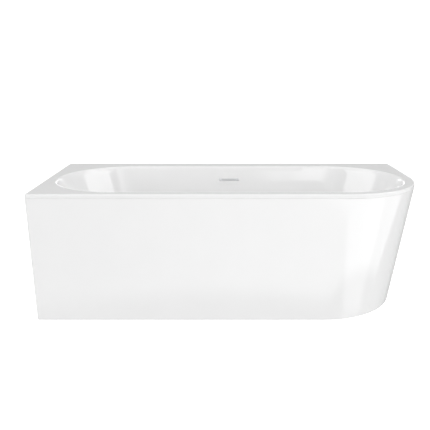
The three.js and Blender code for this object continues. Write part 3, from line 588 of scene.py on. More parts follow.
def basin_rings():
    """The basin's face from the drain's hole up over the rolled rim."""
    floor = basin_loop(FLOOR_HALF_LENGTH, FLOOR_HALF_WIDTH, FLOOR_END_REACH)
    aim = floor - np.array(DRAIN[:2])
    aim /= np.linalg.norm(aim, axis=1)[:, None]
    centre = np.array(DRAIN[:2])
    recess = FLOOR_HEIGHT - RECESS_DEPTH
    soft = 1.2 * MM
    steps = [(HOLE_RADIUS, recess - soft), (HOLE_RADIUS + 0.3 * soft, recess - 0.3 * soft),
        (HOLE_RADIUS + soft, recess), (RECESS_RADIUS - soft, recess), (RECESS_RADIUS - 0.3 * soft,
        recess + 0.3 * soft), (RECESS_RADIUS, recess + soft), (RECESS_RADIUS + 0.2 * soft,
        FLOOR_HEIGHT - 1.6 * soft), (RECESS_RADIUS + 0.9 * soft, FLOOR_HEIGHT - 0.5 * soft),
        (RECESS_RADIUS + 2.2 * soft, FLOOR_HEIGHT - 0.1 * soft),
        (RECESS_RADIUS + 4 * soft, FLOOR_HEIGHT)]
    rings = [level(centre + aim * r, z) for r, z in steps]
    inner = centre + aim * steps[-1][0]
    for t in np.linspace(0, 1, 12)[1:-1]:
        rings.append(level(inner * (1 - t) + floor * t, FLOOR_HEIGHT + FLOOR_FALL * t))
    wall, out, lean = wall_rings(0.0, 0.0, WALL_STEPS)
    rings += wall
    mouth = basin_loop(OPEN_HALF_LENGTH, OPEN_HALF_WIDTH, END_REACH)
    for t in np.linspace(0, 1, 11)[1:]:
        angle = lean + (math.pi / 2 - lean) * t
        rings.append(level(mouth - out * (ROLL * np.cos(angle))[:, None], WALL_TOP + ROLL * np.sin(angle)))
    return rings, mouth


def rim_rings(mouth):
    """The flat rim, its rounded outer edge and the turned down lip."""
    edge = outline_loop(RIM_EDGE)
    rings = []
    for t in (0.02, 0.25, 0.5, 0.75, 0.98):
        rings.append(level(mouth * (1 - t) + edge * t, TOP))
    for angle in np.radians(np.linspace(90, 0, 9)):
        rings.append(level(outline_loop(RIM_EDGE * (1 - math.cos(angle))),
            TOP - RIM_EDGE * (1 - math.sin(angle))))
    foot, soft = TOP - LIP, 1.5 * MM
    rings.append(level(outline_loop(), foot + 2 * soft))
    for angle in np.radians(np.linspace(0, 90, 5)):
        rings.append(level(outline_loop(soft * (1 - math.cos(angle))), foot + soft * (1 - math.sin(angle))))
    rings.append(level(outline_loop(WALL - soft), foot))
    return rings


def under_rings():
    """The glass fibre side, from the lip's inner edge under the rim, down the basin to the drain's hole."""
    foot, soft = TOP - LIP, 1.5 * MM
    under_rim = TOP - WALL
    edge = outline_loop(WALL)
    rings = [level(edge, foot + soft), level(edge, under_rim - 3 * MM),
        level(outline_loop(WALL + 3 * MM), under_rim)]
    wall, _, _ = wall_rings(WALL, FLOOR_FALL + WALL, UNDER_STEPS)
    top = basin_loop(OPEN_HALF_LENGTH - ROLL, OPEN_HALF_WIDTH - ROLL, END_REACH - ROLL, WALL + 5 * MM)
    near = outline_loop(WALL + 3 * MM)
    for t in (0.25, 0.5, 0.75, 0.96):
        rings.append(level(near * (1 - t) + top * t, under_rim))
    wall = [ring for ring in wall if ring[:, 2].max() < under_rim - 4 * MM]
    rings += reversed(wall)
    floor = wall[0]
    aim = floor[:, :2] - np.array(DRAIN[:2])
    aim /= np.linalg.norm(aim, axis=1)[:, None]
    hole = np.array(DRAIN[:2]) + aim * HOLE_RADIUS
    for t in (0.25, 0.5, 0.75, 0.9):
        rings.append(level(floor[:, :2] * (1 - t) + hole * t, SHELL_UNDER))
    rings.append(level(hole, SHELL_UNDER))
    return rings


def build_shell():
    basin, mouth = basin_rings()
    face = basin + rim_rings(mouth)
    rings = face + under_rings()
    count = len(rings[0])
    slots = [0] * (count * (len(face) - 1)) + [1] * (count * (len(rings) - len(face) + 1))
    shell = new_object("shell", np.concatenate(rings), ring_faces(count, len(rings), wrap=True),
                       [ACRYLIC, GLASS_FIBRE], slots, smooth_angle=50)
    low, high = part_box("overflow_grille")
    slot = upright_pill("slot", high.x - low.x - 6 * MM, GRILLE_HEIGHT - 3 * MM, -40 * MM, 40 * MM,
        ACRYLIC, 0)
    combine(shell, [slot])
    shade(shell, 50)
    place_piece(shell, "bath", "bath_shell")


# ---- The apron ----

def apron_path(inset, z):
    """The apron's plan at a height, from its return on the side wall round to its return on the back wall."""
    down = (apron_high.z - z) / (apron_high.z - apron_low.z)
    left, back = LEFT + inset, BACK - inset
    right = RIGHT - TAPER_RIGHT * down
    front = FRONT + TAPER_FRONT * down + inset
    small = max(SMALL_CORNER - inset, 1 * MM)
    large = CORNER + (FOOT_CORNER - CORNER) * down - inset
    near = right - inset
    points = np.concatenate([
        line((left, FRONT + APRON_RETURN), (left, front + small), 4),
        arc((left + small, front + small), (small, small), 180, 270, 12),
        line((left + small, front), (near - large, front), 60),
        arc((near - large, front + large), (large, large), 270, 360, 90),
        line((near, front + large), (near, back - small), 30),
        arc((near - small, back - small), (small, small), 0, 90, 12),
        line((near - small, back), (right - APRON_RETURN, back), 4),
        np.array([(right - APRON_RETURN, back)]),
    ])
    return level(points, z)


def apron_section():
    """The apron's section as [inset, height, is face] from the outer foot edge up and back down inside."""
    low, high = apron_low.z, apron_high.z
    flange = APRON_WALL + APRON_FLANGE
    soft, fold, thick = 1.5 * MM, 4 * MM, 6 * MM
    outer = [(soft, low), (0.3 * soft, low + 0.3 * soft), (0, low + soft), (0, low + 3 * soft)]
    outer += [(0, low + (high - low) * share) for share in np.linspace(0.05, 0.95, 10)]
    outer += [(0, high - 3 * soft), (0, high - soft), (0.3 * soft, high - 0.3 * soft), (soft, high)]
    inner = [(flange - 1 * MM, high), (flange, high - 1 * MM), (flange, high - thick + 1 * MM),
             (flange - 1 * MM, high - thick), (APRON_WALL + fold, high - thick),
             (APRON_WALL + 0.3 * fold, high - thick - 0.3 * fold), (APRON_WALL, high - thick - fold)]
    inner += [(APRON_WALL, low + (high - low) * share) for share in np.linspace(0.9, 0.1, 6)]
    inner += [(APRON_WALL, low + thick + fold), (APRON_WALL + 0.3 * fold, low + thick + 0.3 * fold),
        (APRON_WALL + fold, low + thick), (flange - 1 * MM, low + thick),
        (flange, low + thick - 1 * MM), (flange, low + 1 * MM), (flange - 1 * MM, low)]
    return outer, inner


def build_apron():
    outer, inner = apron_section()
    rings = [apron_path(inset, z) for inset, z in outer + inner]
    count, levels = len(rings[0]), len(rings)
    faces, slots = [], []
    for low in range(levels):
        high = (low + 1) % levels
        for i in range(count - 1):
            faces.append((low * count + i, low * count + i + 1, high * count + i + 1, high * count + i))
            slots.append(0 if low < len(outer) else 1)
    faces.append(tuple(k * count for k in range(levels)))
    faces.append(tuple(k * count + count - 1 for k in reversed(range(levels))))
    slots += [1, 1]
    apron = new_object("apron_moulding", np.concatenate(rings), faces, [ACRYLIC, GLASS_FIBRE], slots, 50)
    place_piece(apron, "bath", "apron")


# ---- The overflow ----

OVERFLOW_Z = TOP - 67 * MM
GRILLE_HEIGHT = 12 * MM
GRILLE_LENGTH = 104 * MM
SCREW_X = 44.6 * MM
BOX_FACE = WALL + 2.9 * MM
BOX_DEPTH = 34 * MM
BOX_MIDDLE = BOX_FACE + BOX_DEPTH / 2
BOX_HEIGHT = 40 * MM


def back_wall(z):
    """How far back the basin's back wall stands at a height, and how far it leans from upright."""
    run = OPEN_HALF_WIDTH - ROLL - FLOOR_HALF_WIDTH
    rise = WALL_TOP - FLOOR_EDGE
    t = np.linspace(0, 1, 400)
    b, c = 3 * (1 - t) * t * t, t ** 3
    along = (3 * (1 - t) ** 2 * t * HANDLE_FLOOR + b * HANDLE_WALL[0] + c) * run
    up = (b * HANDLE_WALL[1] + c) * rise
    height = z - FLOOR_EDGE
    y = BASIN_Y + FLOOR_HALF_WIDTH + np.interp(height, up, along)
    step = 10 * MM
    lean = math.atan2(np.interp(height + step, up, along) - np.interp(height - step, up, along), 2 * step)
    return y, lean


OVERFLOW_Y, OVERFLOW_LEAN = back_wall(OVERFLOW_Z)
AT_OVERFLOW = Matrix.Translation((0, OVERFLOW_Y, OVERFLOW_Z)) @ Matrix.Rotation(-OVERFLOW_LEAN, 4, "X")
STAND_UP = rotation(-90, "X")


def upright_pill(name, length, height, near, far, material, edge=0.5 * MM):
    """A pill-shaped plate or block square to the basin's back wall at the overflow."""
    made = extruded(name, pill(length, height), near, far, material, edge)
    return move(made, AT_OVERFLOW @ STAND_UP)


def build_overflow():
    grille = upright_pill("grille", GRILLE_LENGTH, GRILLE_HEIGHT, -2.5 * MM, -0.3 * MM, CHROME, 0.8 * MM)
    collar = upright_pill("collar", GRILLE_LENGTH - 6.6 * MM, GRILLE_HEIGHT - 3.6 * MM, -1 * MM, WALL,
        CHROME, 0)
    combine(grille, [collar], "UNION")
    cutters = []
    for i in range(7):
        made = extruded("slit", pill(8 * MM, 2.4 * MM), -4 * MM, WALL + 2 * MM, CHROME, 0)
        cutters.append(move(made, AT_OVERFLOW @ Matrix.Translation(((i - 3) * 10.5 * MM, 0, 0)) @ STAND_UP))
    for side in (-1, 1):
        eye = lathe_mesh(mm((0, -4), (3.9, -4), (2.3, -1), (2.3, 12), (0, 12)))
        made = new_object("eye", *eye, [CHROME])
        cutters.append(move(made, AT_OVERFLOW @ Matrix.Translation((side * SCREW_X, 0, 0)) @ STAND_UP))
    combine(grille, cutters)
    soften(grille, 0.25 * MM, 2, 50)
    even_normals(grille)
    place_piece(grille, "bath", "overflow_grille")
    for i, side in enumerate((-1, 1), start=1):
        screw = machine_screw(f"grille_screw_{i}", 3.4 * MM, 2 * MM, 1.9 * MM, 16.5 * MM, CHROME)
        spot = Matrix.Translation((side * SCREW_X, 0, 0)) @ STAND_UP @ Matrix.Translation((0, 0, -2.8 * MM))
        move(screw, AT_OVERFLOW @ spot @ rotation(180, "X"))
        place_piece(screw, "bath", f"overflow_screw_{i}")
    build_overflow_box()


def build_overflow_box():
    long = GRILLE_LENGTH + 16 * MM
    box = upright_pill("overflow_housing", long, BOX_HEIGHT, BOX_FACE, BOX_FACE + BOX_DEPTH,
        WHITE_PLASTIC, 2.5 * MM)
    ribs = [upright_pill("rib", long, BOX_HEIGHT, BOX_FACE, BOX_FACE + 3 * MM, WHITE_PLASTIC, 0.6 * MM)]
    pipe = turned("spigot", mm((8.5, -48), (10.5, -48), (10.5, -36), (11.4, -34), (11.4, -18),
        (8.5, -18)), WHITE_PLASTIC, Vector((0, BOX_MIDDLE, 0)))
    move(pipe, AT_OVERFLOW)
    combine(box, [*ribs, pipe], "UNION")
    hollow = upright_pill("hollow", long - 6 * MM, BOX_HEIGHT - 6 * MM, BOX_FACE + 3 * MM,
                          BOX_FACE + BOX_DEPTH - 3 * MM, WHITE_PLASTIC, 0)
    mouth = upright_pill("mouth", 2 * SCREW_X - 8 * MM, 9 * MM, BOX_FACE - 5 * MM, BOX_FACE + 6 * MM,
        WHITE_PLASTIC, 0)
    bore = turned("bore", mm((0, -50), (8.5, -50), (8.5, -10), (0, -10)), WHITE_PLASTIC,
        Vector((0, BOX_MIDDLE, 0)), radius=0)
    move(bore, AT_OVERFLOW)
    combine(box, [hollow, mouth, bore])
    shade(box, 35)
    place_piece(box, "bath", "overflow_box")
    gasket = upright_pill("overflow_seal", GRILLE_LENGTH + 12 * MM, BOX_HEIGHT - 6 * MM,
        BOX_FACE - 2.3 * MM, BOX_FACE - 0.3 * MM, RUBBER, 0.5 * MM)
    gap = upright_pill("gap", GRILLE_LENGTH - 4 * MM, 12 * MM, BOX_FACE - 6 * MM, BOX_FACE + 3 * MM,
        RUBBER, 0)
    combine(gasket, [gap])
    shade(gasket)
    place_piece(gasket, "bath", "overflow_gasket")


# ---- Fasteners ----

def threaded_rings(radius, pitch, depth, low, high, segments=32, phase=0.0):
    """Rings up a screw thread: a cylinder whose radius follows the helix."""
    rows = max(int((high - low) / (pitch / 4)), 4)
    angles = np.linspace(0, 2 * math.pi, segments, endpoint=False)
    rings = []
    for z in np.linspace(low, high, rows + 1):
        turn = ((z - low) / pitch - angles / (2 * math.pi) + phase) % 1.0
        fade = min((z - low) / pitch, (high - z) / pitch, 1.0)
        r = radius - depth * (0.15 + 0.85 * fade * np.abs(2 * turn - 1))
        rings.append(np.column_stack([r * np.cos(angles), r * np.sin(angles), np.full(segments, z)]))
    return rings


def capped_rings(name, rings, material, place=Vector()):
    """A closed solid through rings, with flat ends."""
    count = len(rings[0])
    vertices = np.concatenate(rings) + np.array(place)
    faces = ring_faces(count, len(rings), wrap=False)
    faces += [tuple(reversed(range(count))), tuple(range(len(vertices) - count, len(vertices)))]
    return new_object(name, vertices, faces, [material])


def chamfered_hexagon(name, flats, low, high, bore, material, place, both=True):
    """A nut or a bolt's hexagon, its corners turned off by a cone."""
    nut = extruded(name, hexagon(flats), low, high, material, 0)
    reach = flats / math.sqrt(3)
    cone = 0.28 * (reach - flats / 2) * 2
    start = low if both else low - 1
    profile = [(0, start), (flats / 2 * 0.97, start), (reach * 1.02, start + 2.2 * cone),
               (reach * 1.02, high - 2.2 * cone), (flats / 2 * 0.97, high), (0, high)]
    turned_block = new_object("cone", *lathe_mesh(profile, 48), [material])
    combine(nut, [turned_block], "INTERSECT")
    if bore:
        cutter = new_object("bore", *lathe_mesh([(0, low - 1), (bore, low - 1), (bore, high + 1),
            (0, high + 1)], 48), [material])
        combine(nut, [cutter])
    soften(nut, 0.3 * MM, 2, 25)
    return move(nut, Matrix.Translation(place))


def cross_recess(size, depth, material):
    """The cutter for a cross recess, from z = 0 downwards."""
    blades = []
    for turn in (0, 90):
        blade = block("blade", (-size / 2, -size / 9, -depth), (size / 2, size / 9, 1 * MM), material, 0)
        blades.append(move(blade, rotation(turn)))
    return blades


def machine_screw(name, head, head_height, shank, length, material):
    """A pan-headed screw with its head's top at z = 0 and its shank upwards below it."""
    dome = [(0, -head_height), (head, -head_height), (head, -0.6 * head_height),
        (0.8 * head, -0.15 * head_height), (0.4 * head, 0), (0, 0)]
    top = new_object(name, *lathe_mesh(dome, 40), [material])
    shaft = capped_rings("shaft", threaded_rings(shank, 1.1 * MM, 0.5 * MM, -length, -0.6 * head_height,
        20), material)
    combine(top, [shaft], "UNION")
    combine(top, cross_recess(1.1 * head, 0.7 * head_height, material))
    shade(top, 40)
    return top


# ---- The frame under the basin ----

STUD_RADIUS = 6 * MM
STUD_BORE = 6.4 * MM
THREAD_PITCH = 1.75 * MM
THREAD_DEPTH = 0.9 * MM

def square_tube(node):
    """A rolled square tube with round corners, from its CAD box; the holes that its fasteners pass are drilled
    where it is used.
    """
    low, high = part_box(node)
    size = high - low
    along_x = size.x > size.y
    side, wall, corner = size.z, 2 * MM, 3 * MM
    length = size.x if along_x else size.y

    def section(half, radius, steps=6):
        points = []
        for k in range(4):
            cx, cy = (half - radius) * (1, -1, -1, 1)[k], (half - radius) * (1, 1, -1, -1)[k]
            for a in np.radians(np.linspace(90 * k, 90 * k + 90, steps + 1)):
                points.append((cx + radius * math.cos(a), cy + radius * math.sin(a)))
        return points

    outer, inner = section(side / 2, corner), section(side / 2 - wall, corner - 1.5 * MM)
    half = length / 2
    edge = 0.4 * MM
    shrink = section(side / 2 - edge, corner - edge)
    stack = [(inner, -half), (shrink, -half), (outer, -half + edge), (outer, half - edge),
        (shrink, half), (inner, half)]
    vertices = [(z, x, y) for points, z in stack for x, y in points]
    tube = new_object(node + "_tube", vertices, ring_faces(len(outer), len(stack), wrap=True), [GALVANISED])
    turn = Matrix.Identity(4) if along_x else rotation(90)
    move(tube, Matrix.Translation((low + high) / 2) @ turn)
    return tube, low, high


def drill(obj, places, radius, low, high, material):
    cutters = []
    for x, y in places:
        profile = [(0, low), (radius, low), (radius, high), (0, high)]
        cutter = new_object("drill", *lathe_mesh(profile, 32), [material])
        cutters.append(move(cutter, Matrix.Translation((x, y, 0))))
    return combine(obj, cutters)


def middle(node):
    low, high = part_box(node)
    return (low + high) / 2


def build_frame():
    screws = [middle(f"frame_screw_{i}") for i in range(1, 7)]
    studs = [middle(f"foot_{i}_stud") for i in range(1, 7)]
    for node in ("frame_rail_front", "frame_rail_back"):
        tube, low, high = square_tube(node)
        near = [(s.x, s.y) for s in screws if low.y < s.y < high.y]
        drill(tube, near, 3 * MM, low.z - 1 * MM, high.z + 1 * MM, GALVANISED)
        shade(tube)
        place_piece(tube, "bath", node)
    for i in (1, 2, 3):
        node = f"frame_bar_{i}"
        tube, low, high = square_tube(node)
        near = [(s.x, s.y) for s in studs if low.x < s.x < high.x]
        drill(tube, near, STUD_BORE, low.z - 1 * MM, high.z + 1 * MM, GALVANISED)
        shade(tube)
        place_piece(tube, "bath", node)
        build_bracket(i)
    for i in range(1, 7):
        build_frame_screw(i)
        build_foot(i)


def build_bracket(i):
    """A folded steel strip: arm on the bar, upright, and tread on the apron's flange."""
    node = f"apron_bracket_{i}"
    low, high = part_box(node)
    thick, bend = 3 * MM, 5 * MM
    stud = middle(f"foot_{i}_stud")
    upright = low.y + 40 * MM - thick  # outer face of the upright
    path = [(low.y, low.z), (upright + thick, low.z), (upright + thick, high.z - thick),
        (high.y, high.z - thick), (high.y, high.z), (upright, high.z), (upright, low.z + thick),
        (low.y, low.z + thick)]
    radii = [0.5 * MM, bend, bend - thick, 0.5 * MM, 0.5 * MM, bend, bend - thick, 0.5 * MM]
    section = rounded(path, radii, 6)
    strip = extruded(node + "_strip", section, low.x, high.x, GALVANISED, 0)
    move(strip, Matrix(((0, 0, 1, 0), (1, 0, 0, 0), (0, 1, 0, 0), (0, 0, 0, 1))))
    drill(strip, [(stud.x, stud.y)], STUD_BORE, high.z - 10 * MM, high.z + 10 * MM, GALVANISED)
    soften(strip, 0.35 * MM, 2, 50)
    place_piece(strip, "bath", node)


def build_frame_screw(i):
    low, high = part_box(f"frame_screw_{i}")
    spot = (low + high) / 2
    screw = machine_screw(f"board_screw_{i}", 5.5 * MM, 3 * MM, 2.5 * MM, high.z - low.z, ZINC)
    move(screw, Matrix.Translation((spot.x, spot.y, low.z)) @ rotation(180, "X"))
    place_piece(screw, "bath", f"frame_screw_{i}")


def build_foot(i):
    pad_low, pad_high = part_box(f"foot_{i}_pad")
    stud_low, stud_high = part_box(f"foot_{i}_stud")
    nut_low, nut_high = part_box(f"foot_{i}_locknut")
    spot = Vector((middle(f"foot_{i}_pad").x, middle(f"foot_{i}_pad").y, 0))
    r, h = (pad_high.x - pad_low.x) / 2, pad_high.z
    profile = [(0, 0), (r - 1 * MM, 0), (r, 1 * MM), (r, 3 * MM), (r - 2 * MM, 4.4 * MM), (16 * MM, 7 * MM),
               (12 * MM, h - 1 * MM), (11 * MM, h), (6.6 * MM, h), (6.6 * MM, 5 * MM), (0, 5 * MM)]
    pad = turned(f"foot_{i}_base", profile, BLACK_PLASTIC, Vector(), 64, 0.8 * MM)
    ribs = []
    for turn in range(0, 360, 45):
        rib = block("rib", (10 * MM, -0.9 * MM, 2 * MM), (r - 3.5 * MM, 0.9 * MM, 7.2 * MM),
            BLACK_PLASTIC, 0.4 * MM)
        ribs.append(move(rib, rotation(turn)))
    combine(pad, ribs, "UNION")
    shade(pad, 40)
    move(pad, Matrix.Translation(spot))
    place_piece(pad, f"foot_{i}", f"foot_{i}_pad")

    hex_low, hex_high = pad_high.z + 0.3 * MM, pad_high.z + 8.3 * MM
    radius = STUD_RADIUS
    thread = threaded_rings(radius, THREAD_PITCH, THREAD_DEPTH, hex_high + 1.5 * MM, stud_high.z - 1.5 * MM)
    flat = np.linspace(0, 2 * math.pi, 32, endpoint=False)

    def circle(reach, z):
        return np.column_stack([reach * np.cos(flat), reach * np.sin(flat), np.full(32, z)])

    rings = [circle(radius * 0.8, stud_low.z), circle(radius * 0.9, stud_low.z + 1 * MM),
        circle(radius * 0.9, hex_high)]
    rings += thread + [circle(radius * 0.72, stud_high.z)]
    stud = capped_rings(f"foot_{i}_rod", rings, ZINC)
    head = chamfered_hexagon("head", 16 * MM, hex_low, hex_high, 0, ZINC, Vector())
    combine(stud, [head], "UNION")
    shade(stud, 32)
    move(stud, Matrix.Translation(spot))
    place_piece(stud, f"stud_{i}", f"foot_{i}_stud")

    nut = chamfered_hexagon(f"foot_{i}_nut", 19 * MM, nut_low.z, nut_high.z, STUD_BORE, ZINC, spot)
    place_piece(nut, "bath", f"foot_{i}_locknut")


def build_boards():
    low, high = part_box("base_board")
    end = 90 * MM
    half_length, half_width = (high.x - low.x) / 2, (high.y - low.y) / 2
    straight = half_length - end
    right = [(straight + end * math.cos(a), BASIN_Y + half_width * math.sin(a))
             for a in np.radians(np.linspace(-90, 90, 41))]
    left = [(-x, 2 * BASIN_Y - y) for x, y in right]
    board = extruded("board", right + left, low.z, high.z, PARTICLE_BOARD, 1.2 * MM)
    drill(board, [(DRAIN.x, DRAIN.y)], 52 * MM, low.z - 1 * MM, high.z + 1 * MM, PARTICLE_BOARD)
    shade(board, 40)
    place_piece(board, "bath", "base_board")
    for node in ("rim_batten_back", "rim_batten_left"):
        low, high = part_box(node)
        batten = block(node + "_timber", low, high, SOFTWOOD, 1.5 * MM)
        place_piece(batten, "bath", node)


# ---- The waste ----

INLET_Z = 100 * MM  # where the overflow hose enters the waste body
OUTLET_Z = 34 * MM  # the trap's outlet

def build_waste():
    """The chrome ring, its gasket, the click plug and its cartridge, modelled about the drain's axis."""
    low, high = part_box("waste_flange")
    flange_top, flange_under = high.z, high.z - 2.6 * MM
    ring = turned("waste_ring", mm((21.5, low.z, 0), (24, low.z, 0), (24, flange_under, 0),
        (35.2, flange_under, 0), (35.5, flange_under, 0.8), (34.2, flange_top, -0.3),
        (32, flange_top, 0), (24.5, flange_top, 0), (22.4, flange_top, -0.4), (21.5, flange_top, -2)),
        CHROME, Vector(), 96, 0.5 * MM)
    spoke_top = flange_top - 23.5 * MM
    spokes = []
    for turn in (0, 90):
        bar = block("spoke", (-22.7 * MM, -2 * MM, spoke_top - 5 * MM), (22.7 * MM, 2 * MM, spoke_top),
            CHROME, 0.6 * MM)
        spokes.append(move(bar, rotation(turn)))
    hub = turned("hub", mm((0, spoke_top, -5), (9, spoke_top, -5), (9, spoke_top, 0),
        (0, spoke_top, 0)), CHROME, Vector(), 48, 0.5 * MM)
    combine(ring, [*spokes, hub], "UNION")
    drill(ring, [(0, 0)], 4.3 * MM, spoke_top - 8 * MM, spoke_top + 3 * MM, CHROME)
    place_at_drain(ring, "bath", "waste_flange")

    low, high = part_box("flange_gasket")
    gasket = turned("ring_gasket", mm((24.3, low.z, 0), (34.5, low.z, 0), (34.5, high.z, 0),
        (24.3, high.z, 0)), RUBBER, DRAIN, 96, 0.4 * MM)
    place_piece(gasket, "bath", "flange_gasket")

    low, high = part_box("click_cartridge")
    cartridge = turned("cartridge", mm((0, low.z, 0), (3.4, low.z, 0), (4, low.z, 0.7), (4, low.z, 9),
        (7, low.z, 9), (7, low.z, 12), (6.3, low.z, 12.6), (6.3, high.z, -4), (7, high.z, -3.4),
        (7, high.z, 0), (3.8, high.z, 0), (3.8, low.z, 12), (0, low.z, 12)), BRASS, DRAIN, 64, 0.3 * MM)
    place_piece(cartridge, "bath", "click_cartridge")
    build_plug()


def build_plug():
    low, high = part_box("plug_cap")
    radius = (high.x - low.x) / 2
    under = low.z + 3.8 * MM
    crown = [(radius * math.sin(a), high.z - 3.5 * MM + 3.5 * MM * math.cos(a) ** 0.9)
             for a in np.radians(np.linspace(82, 8, 12))]
    profile = [(0, low.z), (13 * MM, low.z), (13 * MM, under), (radius - 1.5 * MM, under),
        (radius, under + 1 * MM), (radius, under + 1.9 * MM), *crown, (0, high.z)]
    cap = turned("plug_dome", profile, CHROME, Vector(), 128, 0.5 * MM)
    drill(cap, [(0, 0)], 3.7 * MM, low.z - 1 * MM, low.z + 4 * MM, CHROME)
    place_at_drain(cap, "plug", "plug_cap")
    low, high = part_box("plug_seal")
    seal = turned("plug_ring_seal", mm((13.3, low.z, 0), (18.4, low.z, 0), (21.1, high.z, -0.4),
        (20.6, high.z, 0), (13.3, high.z, 0)), RUBBER, DRAIN, 96, 0.5 * MM)
    place_piece(seal, "plug", "plug_seal")
    low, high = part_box("plug_stem")
    stem = turned("plug_pin", mm((0, low.z, 0), (2.6, low.z, 0), (3.4, low.z, 1), (3.4, high.z, -6),
        (2.9, high.z, -5.5), (2.9, high.z, -4.5), (3.4, high.z, -4), (3.4, high.z, 0), (0, high.z, 0)),
        BRASS, DRAIN, 48, 0.2 * MM)
    place_piece(stem, "plug", "plug_stem")


def ribbed_nut(name, profile, ribs, rib_reach, low, high, material):
    """A moulded nut with grip ribs round it."""
    nut = turned(name, profile, material, Vector(), 96, 0.7 * MM)
    outer = max(r for r, _ in profile)
    added = []
    for k in range(ribs):
        rib = block("rib", (outer - 4 * MM, -1.6 * MM, low), (outer - 0.05 * MM + rib_reach, 1.6 * MM,
            high), material, 0.7 * MM)
        added.append(move(rib, Matrix.Rotation(2 * math.pi * k / ribs, 4, "Z")))
    combine(nut, added, "UNION")
    shade(nut, 40)
    return nut


def build_trap():
    """The waste body under the drain and the trap that turns on it."""
    low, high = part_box("waste_body")
    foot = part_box("trap_cup")[1].z + 0.3 * MM
    head = high.z
    inlet_end = -low.x
    body = turned("waste_housing", mm((14.5, low.z, 0), (17, low.z, 0), (17, foot, 0), (41, foot, 0),
        (42, foot, 1), (42, foot, 14), (31, foot, 14), (31, head, -14), (33, head, -9), (42, head, -4),
        (42, head, 0), (24.3, head, 0), (24.3, head, -18), (28, head, -22), (28, foot, 3),
        (14.5, foot, 3)), WHITE_PLASTIC, Vector(), 96, 0.8 * MM)
    ribs = []
    for k in range(8):
        rib = block("rib", (29 * MM, -1.2 * MM, foot + 13 * MM), (38 * MM, 1.2 * MM, head - 3 * MM),
            WHITE_PLASTIC, 0.6 * MM)
        ribs.append(move(rib, rotation(22.5 + 45 * k)))
    lay = Matrix.Translation((0, 0, INLET_Z)) @ rotation(-90, "Y")
    pipe = turned("pipe", mm((8.6, 29), (13.5, 29), (13.5, 40), (10.5, 42), (10.5, inlet_end, 0),
        (8.6, inlet_end, 0)), WHITE_PLASTIC, Vector(), 64, 0.6 * MM)
    combine(body, [*ribs, move(pipe, lay)], "UNION")
    bore = new_object("bore", *lathe_mesh(mm((0, 20), (8.6, 20), (8.6, 80), (0, 80)), 48),
        [WHITE_PLASTIC])
    combine(body, [move(bore, lay)])
    place_at_drain(body, "bath", "waste_body")

    low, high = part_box("waste_seal")
    seal = turned("body_seal", mm((31, low.z, 0), (41, low.z, 0), (41, high.z, 0), (31, high.z, 0)),
        RUBBER, DRAIN, 96, 0.7 * MM)
    place_piece(seal, "bath", "waste_seal")

    low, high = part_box("trap_nut")
    lip = low.z + 3.5 * MM
    nut = ribbed_nut("trap_collar", mm((37.4, low.z, 0), (46, low.z, 0), (47.6, low.z, 2),
        (47.6, high.z, -1), (46.6, high.z, 0), (42.3, high.z, 0), (42.3, lip, 0), (37.4, lip, 0)), 16,
        1.8 * MM, low.z + 2 * MM, high.z - 1 * MM, GREY_PLASTIC)
    move(nut, Matrix.Translation(DRAIN))
    place_piece(nut, "bath", "trap_nut")

    low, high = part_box("trap_cup")
    top, shoulder = high.z, 60 * MM
    cup = turned("trap_bowl", mm((0, low.z, 0), (34, low.z, 0), (44, low.z, 3), (46, low.z, 10),
        (46, shoulder, -4), (37, shoulder, 0), (37, top, -4), (41.5, top, -4), (41.5, top, 0),
        (34, top, 0), (34, shoulder, -1), (43, shoulder, -5), (43, low.z, 9), (40, low.z, 4),
        (0, low.z, 3)), WHITE_PLASTIC, Vector(), 96, 1.2 * MM)
    out = Matrix.Translation((0, 0, OUTLET_Z)) @ rotation(-90, "X")
    branch = turned("branch", mm((18, 42), (22, 42), (22, 58), (23, 60), (23, 74), (20.3, 74),
        (20.3, 60), (18, 60)), WHITE_PLASTIC, Vector(), 64, 0.5 * MM)
    combine(cup, [move(branch, out)], "UNION")
    bore = new_object("bore", *lathe_mesh(mm((0, 36), (18, 36), (18, 61), (0, 61)), 64),
        [WHITE_PLASTIC])
    combine(cup, [move(bore, out)])
    place_at_drain(cup, "trap", "trap_cup")

    low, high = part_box("outlet_pipe")
    start, end = low.y - BASIN_Y, high.y - BASIN_Y
    pipe = turned("waste_pipe", mm((18, start, 0), (20, start, 0), (20, end, 0), (18, end, 0)),
        WHITE_PLASTIC, Vector(), 96, 0.5 * MM)
    place_piece(move(pipe, Matrix.Translation(DRAIN) @ out), "trap", "outlet_pipe")
    start = 62 * MM
    nut = ribbed_nut("pipe_nut", mm((23.3, start, 0), (25.6, start, 0), (25.6, start, 20),
        (23, start, 24), (20.3, start, 24), (20.3, start, 12.3), (23.3, start, 12.3)), 10, 1.8 * MM,
        start + 1 * MM, start + 19 * MM, GREY_PLASTIC)
    place_piece(move(nut, Matrix.Translation(DRAIN) @ out), "trap", "outlet_nut")


# ---- The overflow hose ----

HOSE_RADIUS = 13 * MM
HOSE_CLEAR = 11 * MM
HOSE_SIDEWAYS = 190 * MM
HOSE_GRIP = 14 * MM
HOSE_TOP = BOX_HEIGHT / 2 + 28 * MM - HOSE_GRIP
HOSE_END = 57 * MM


def spigot_point(along):
    return AT_OVERFLOW @ Vector((0, BOX_MIDDLE, -along))


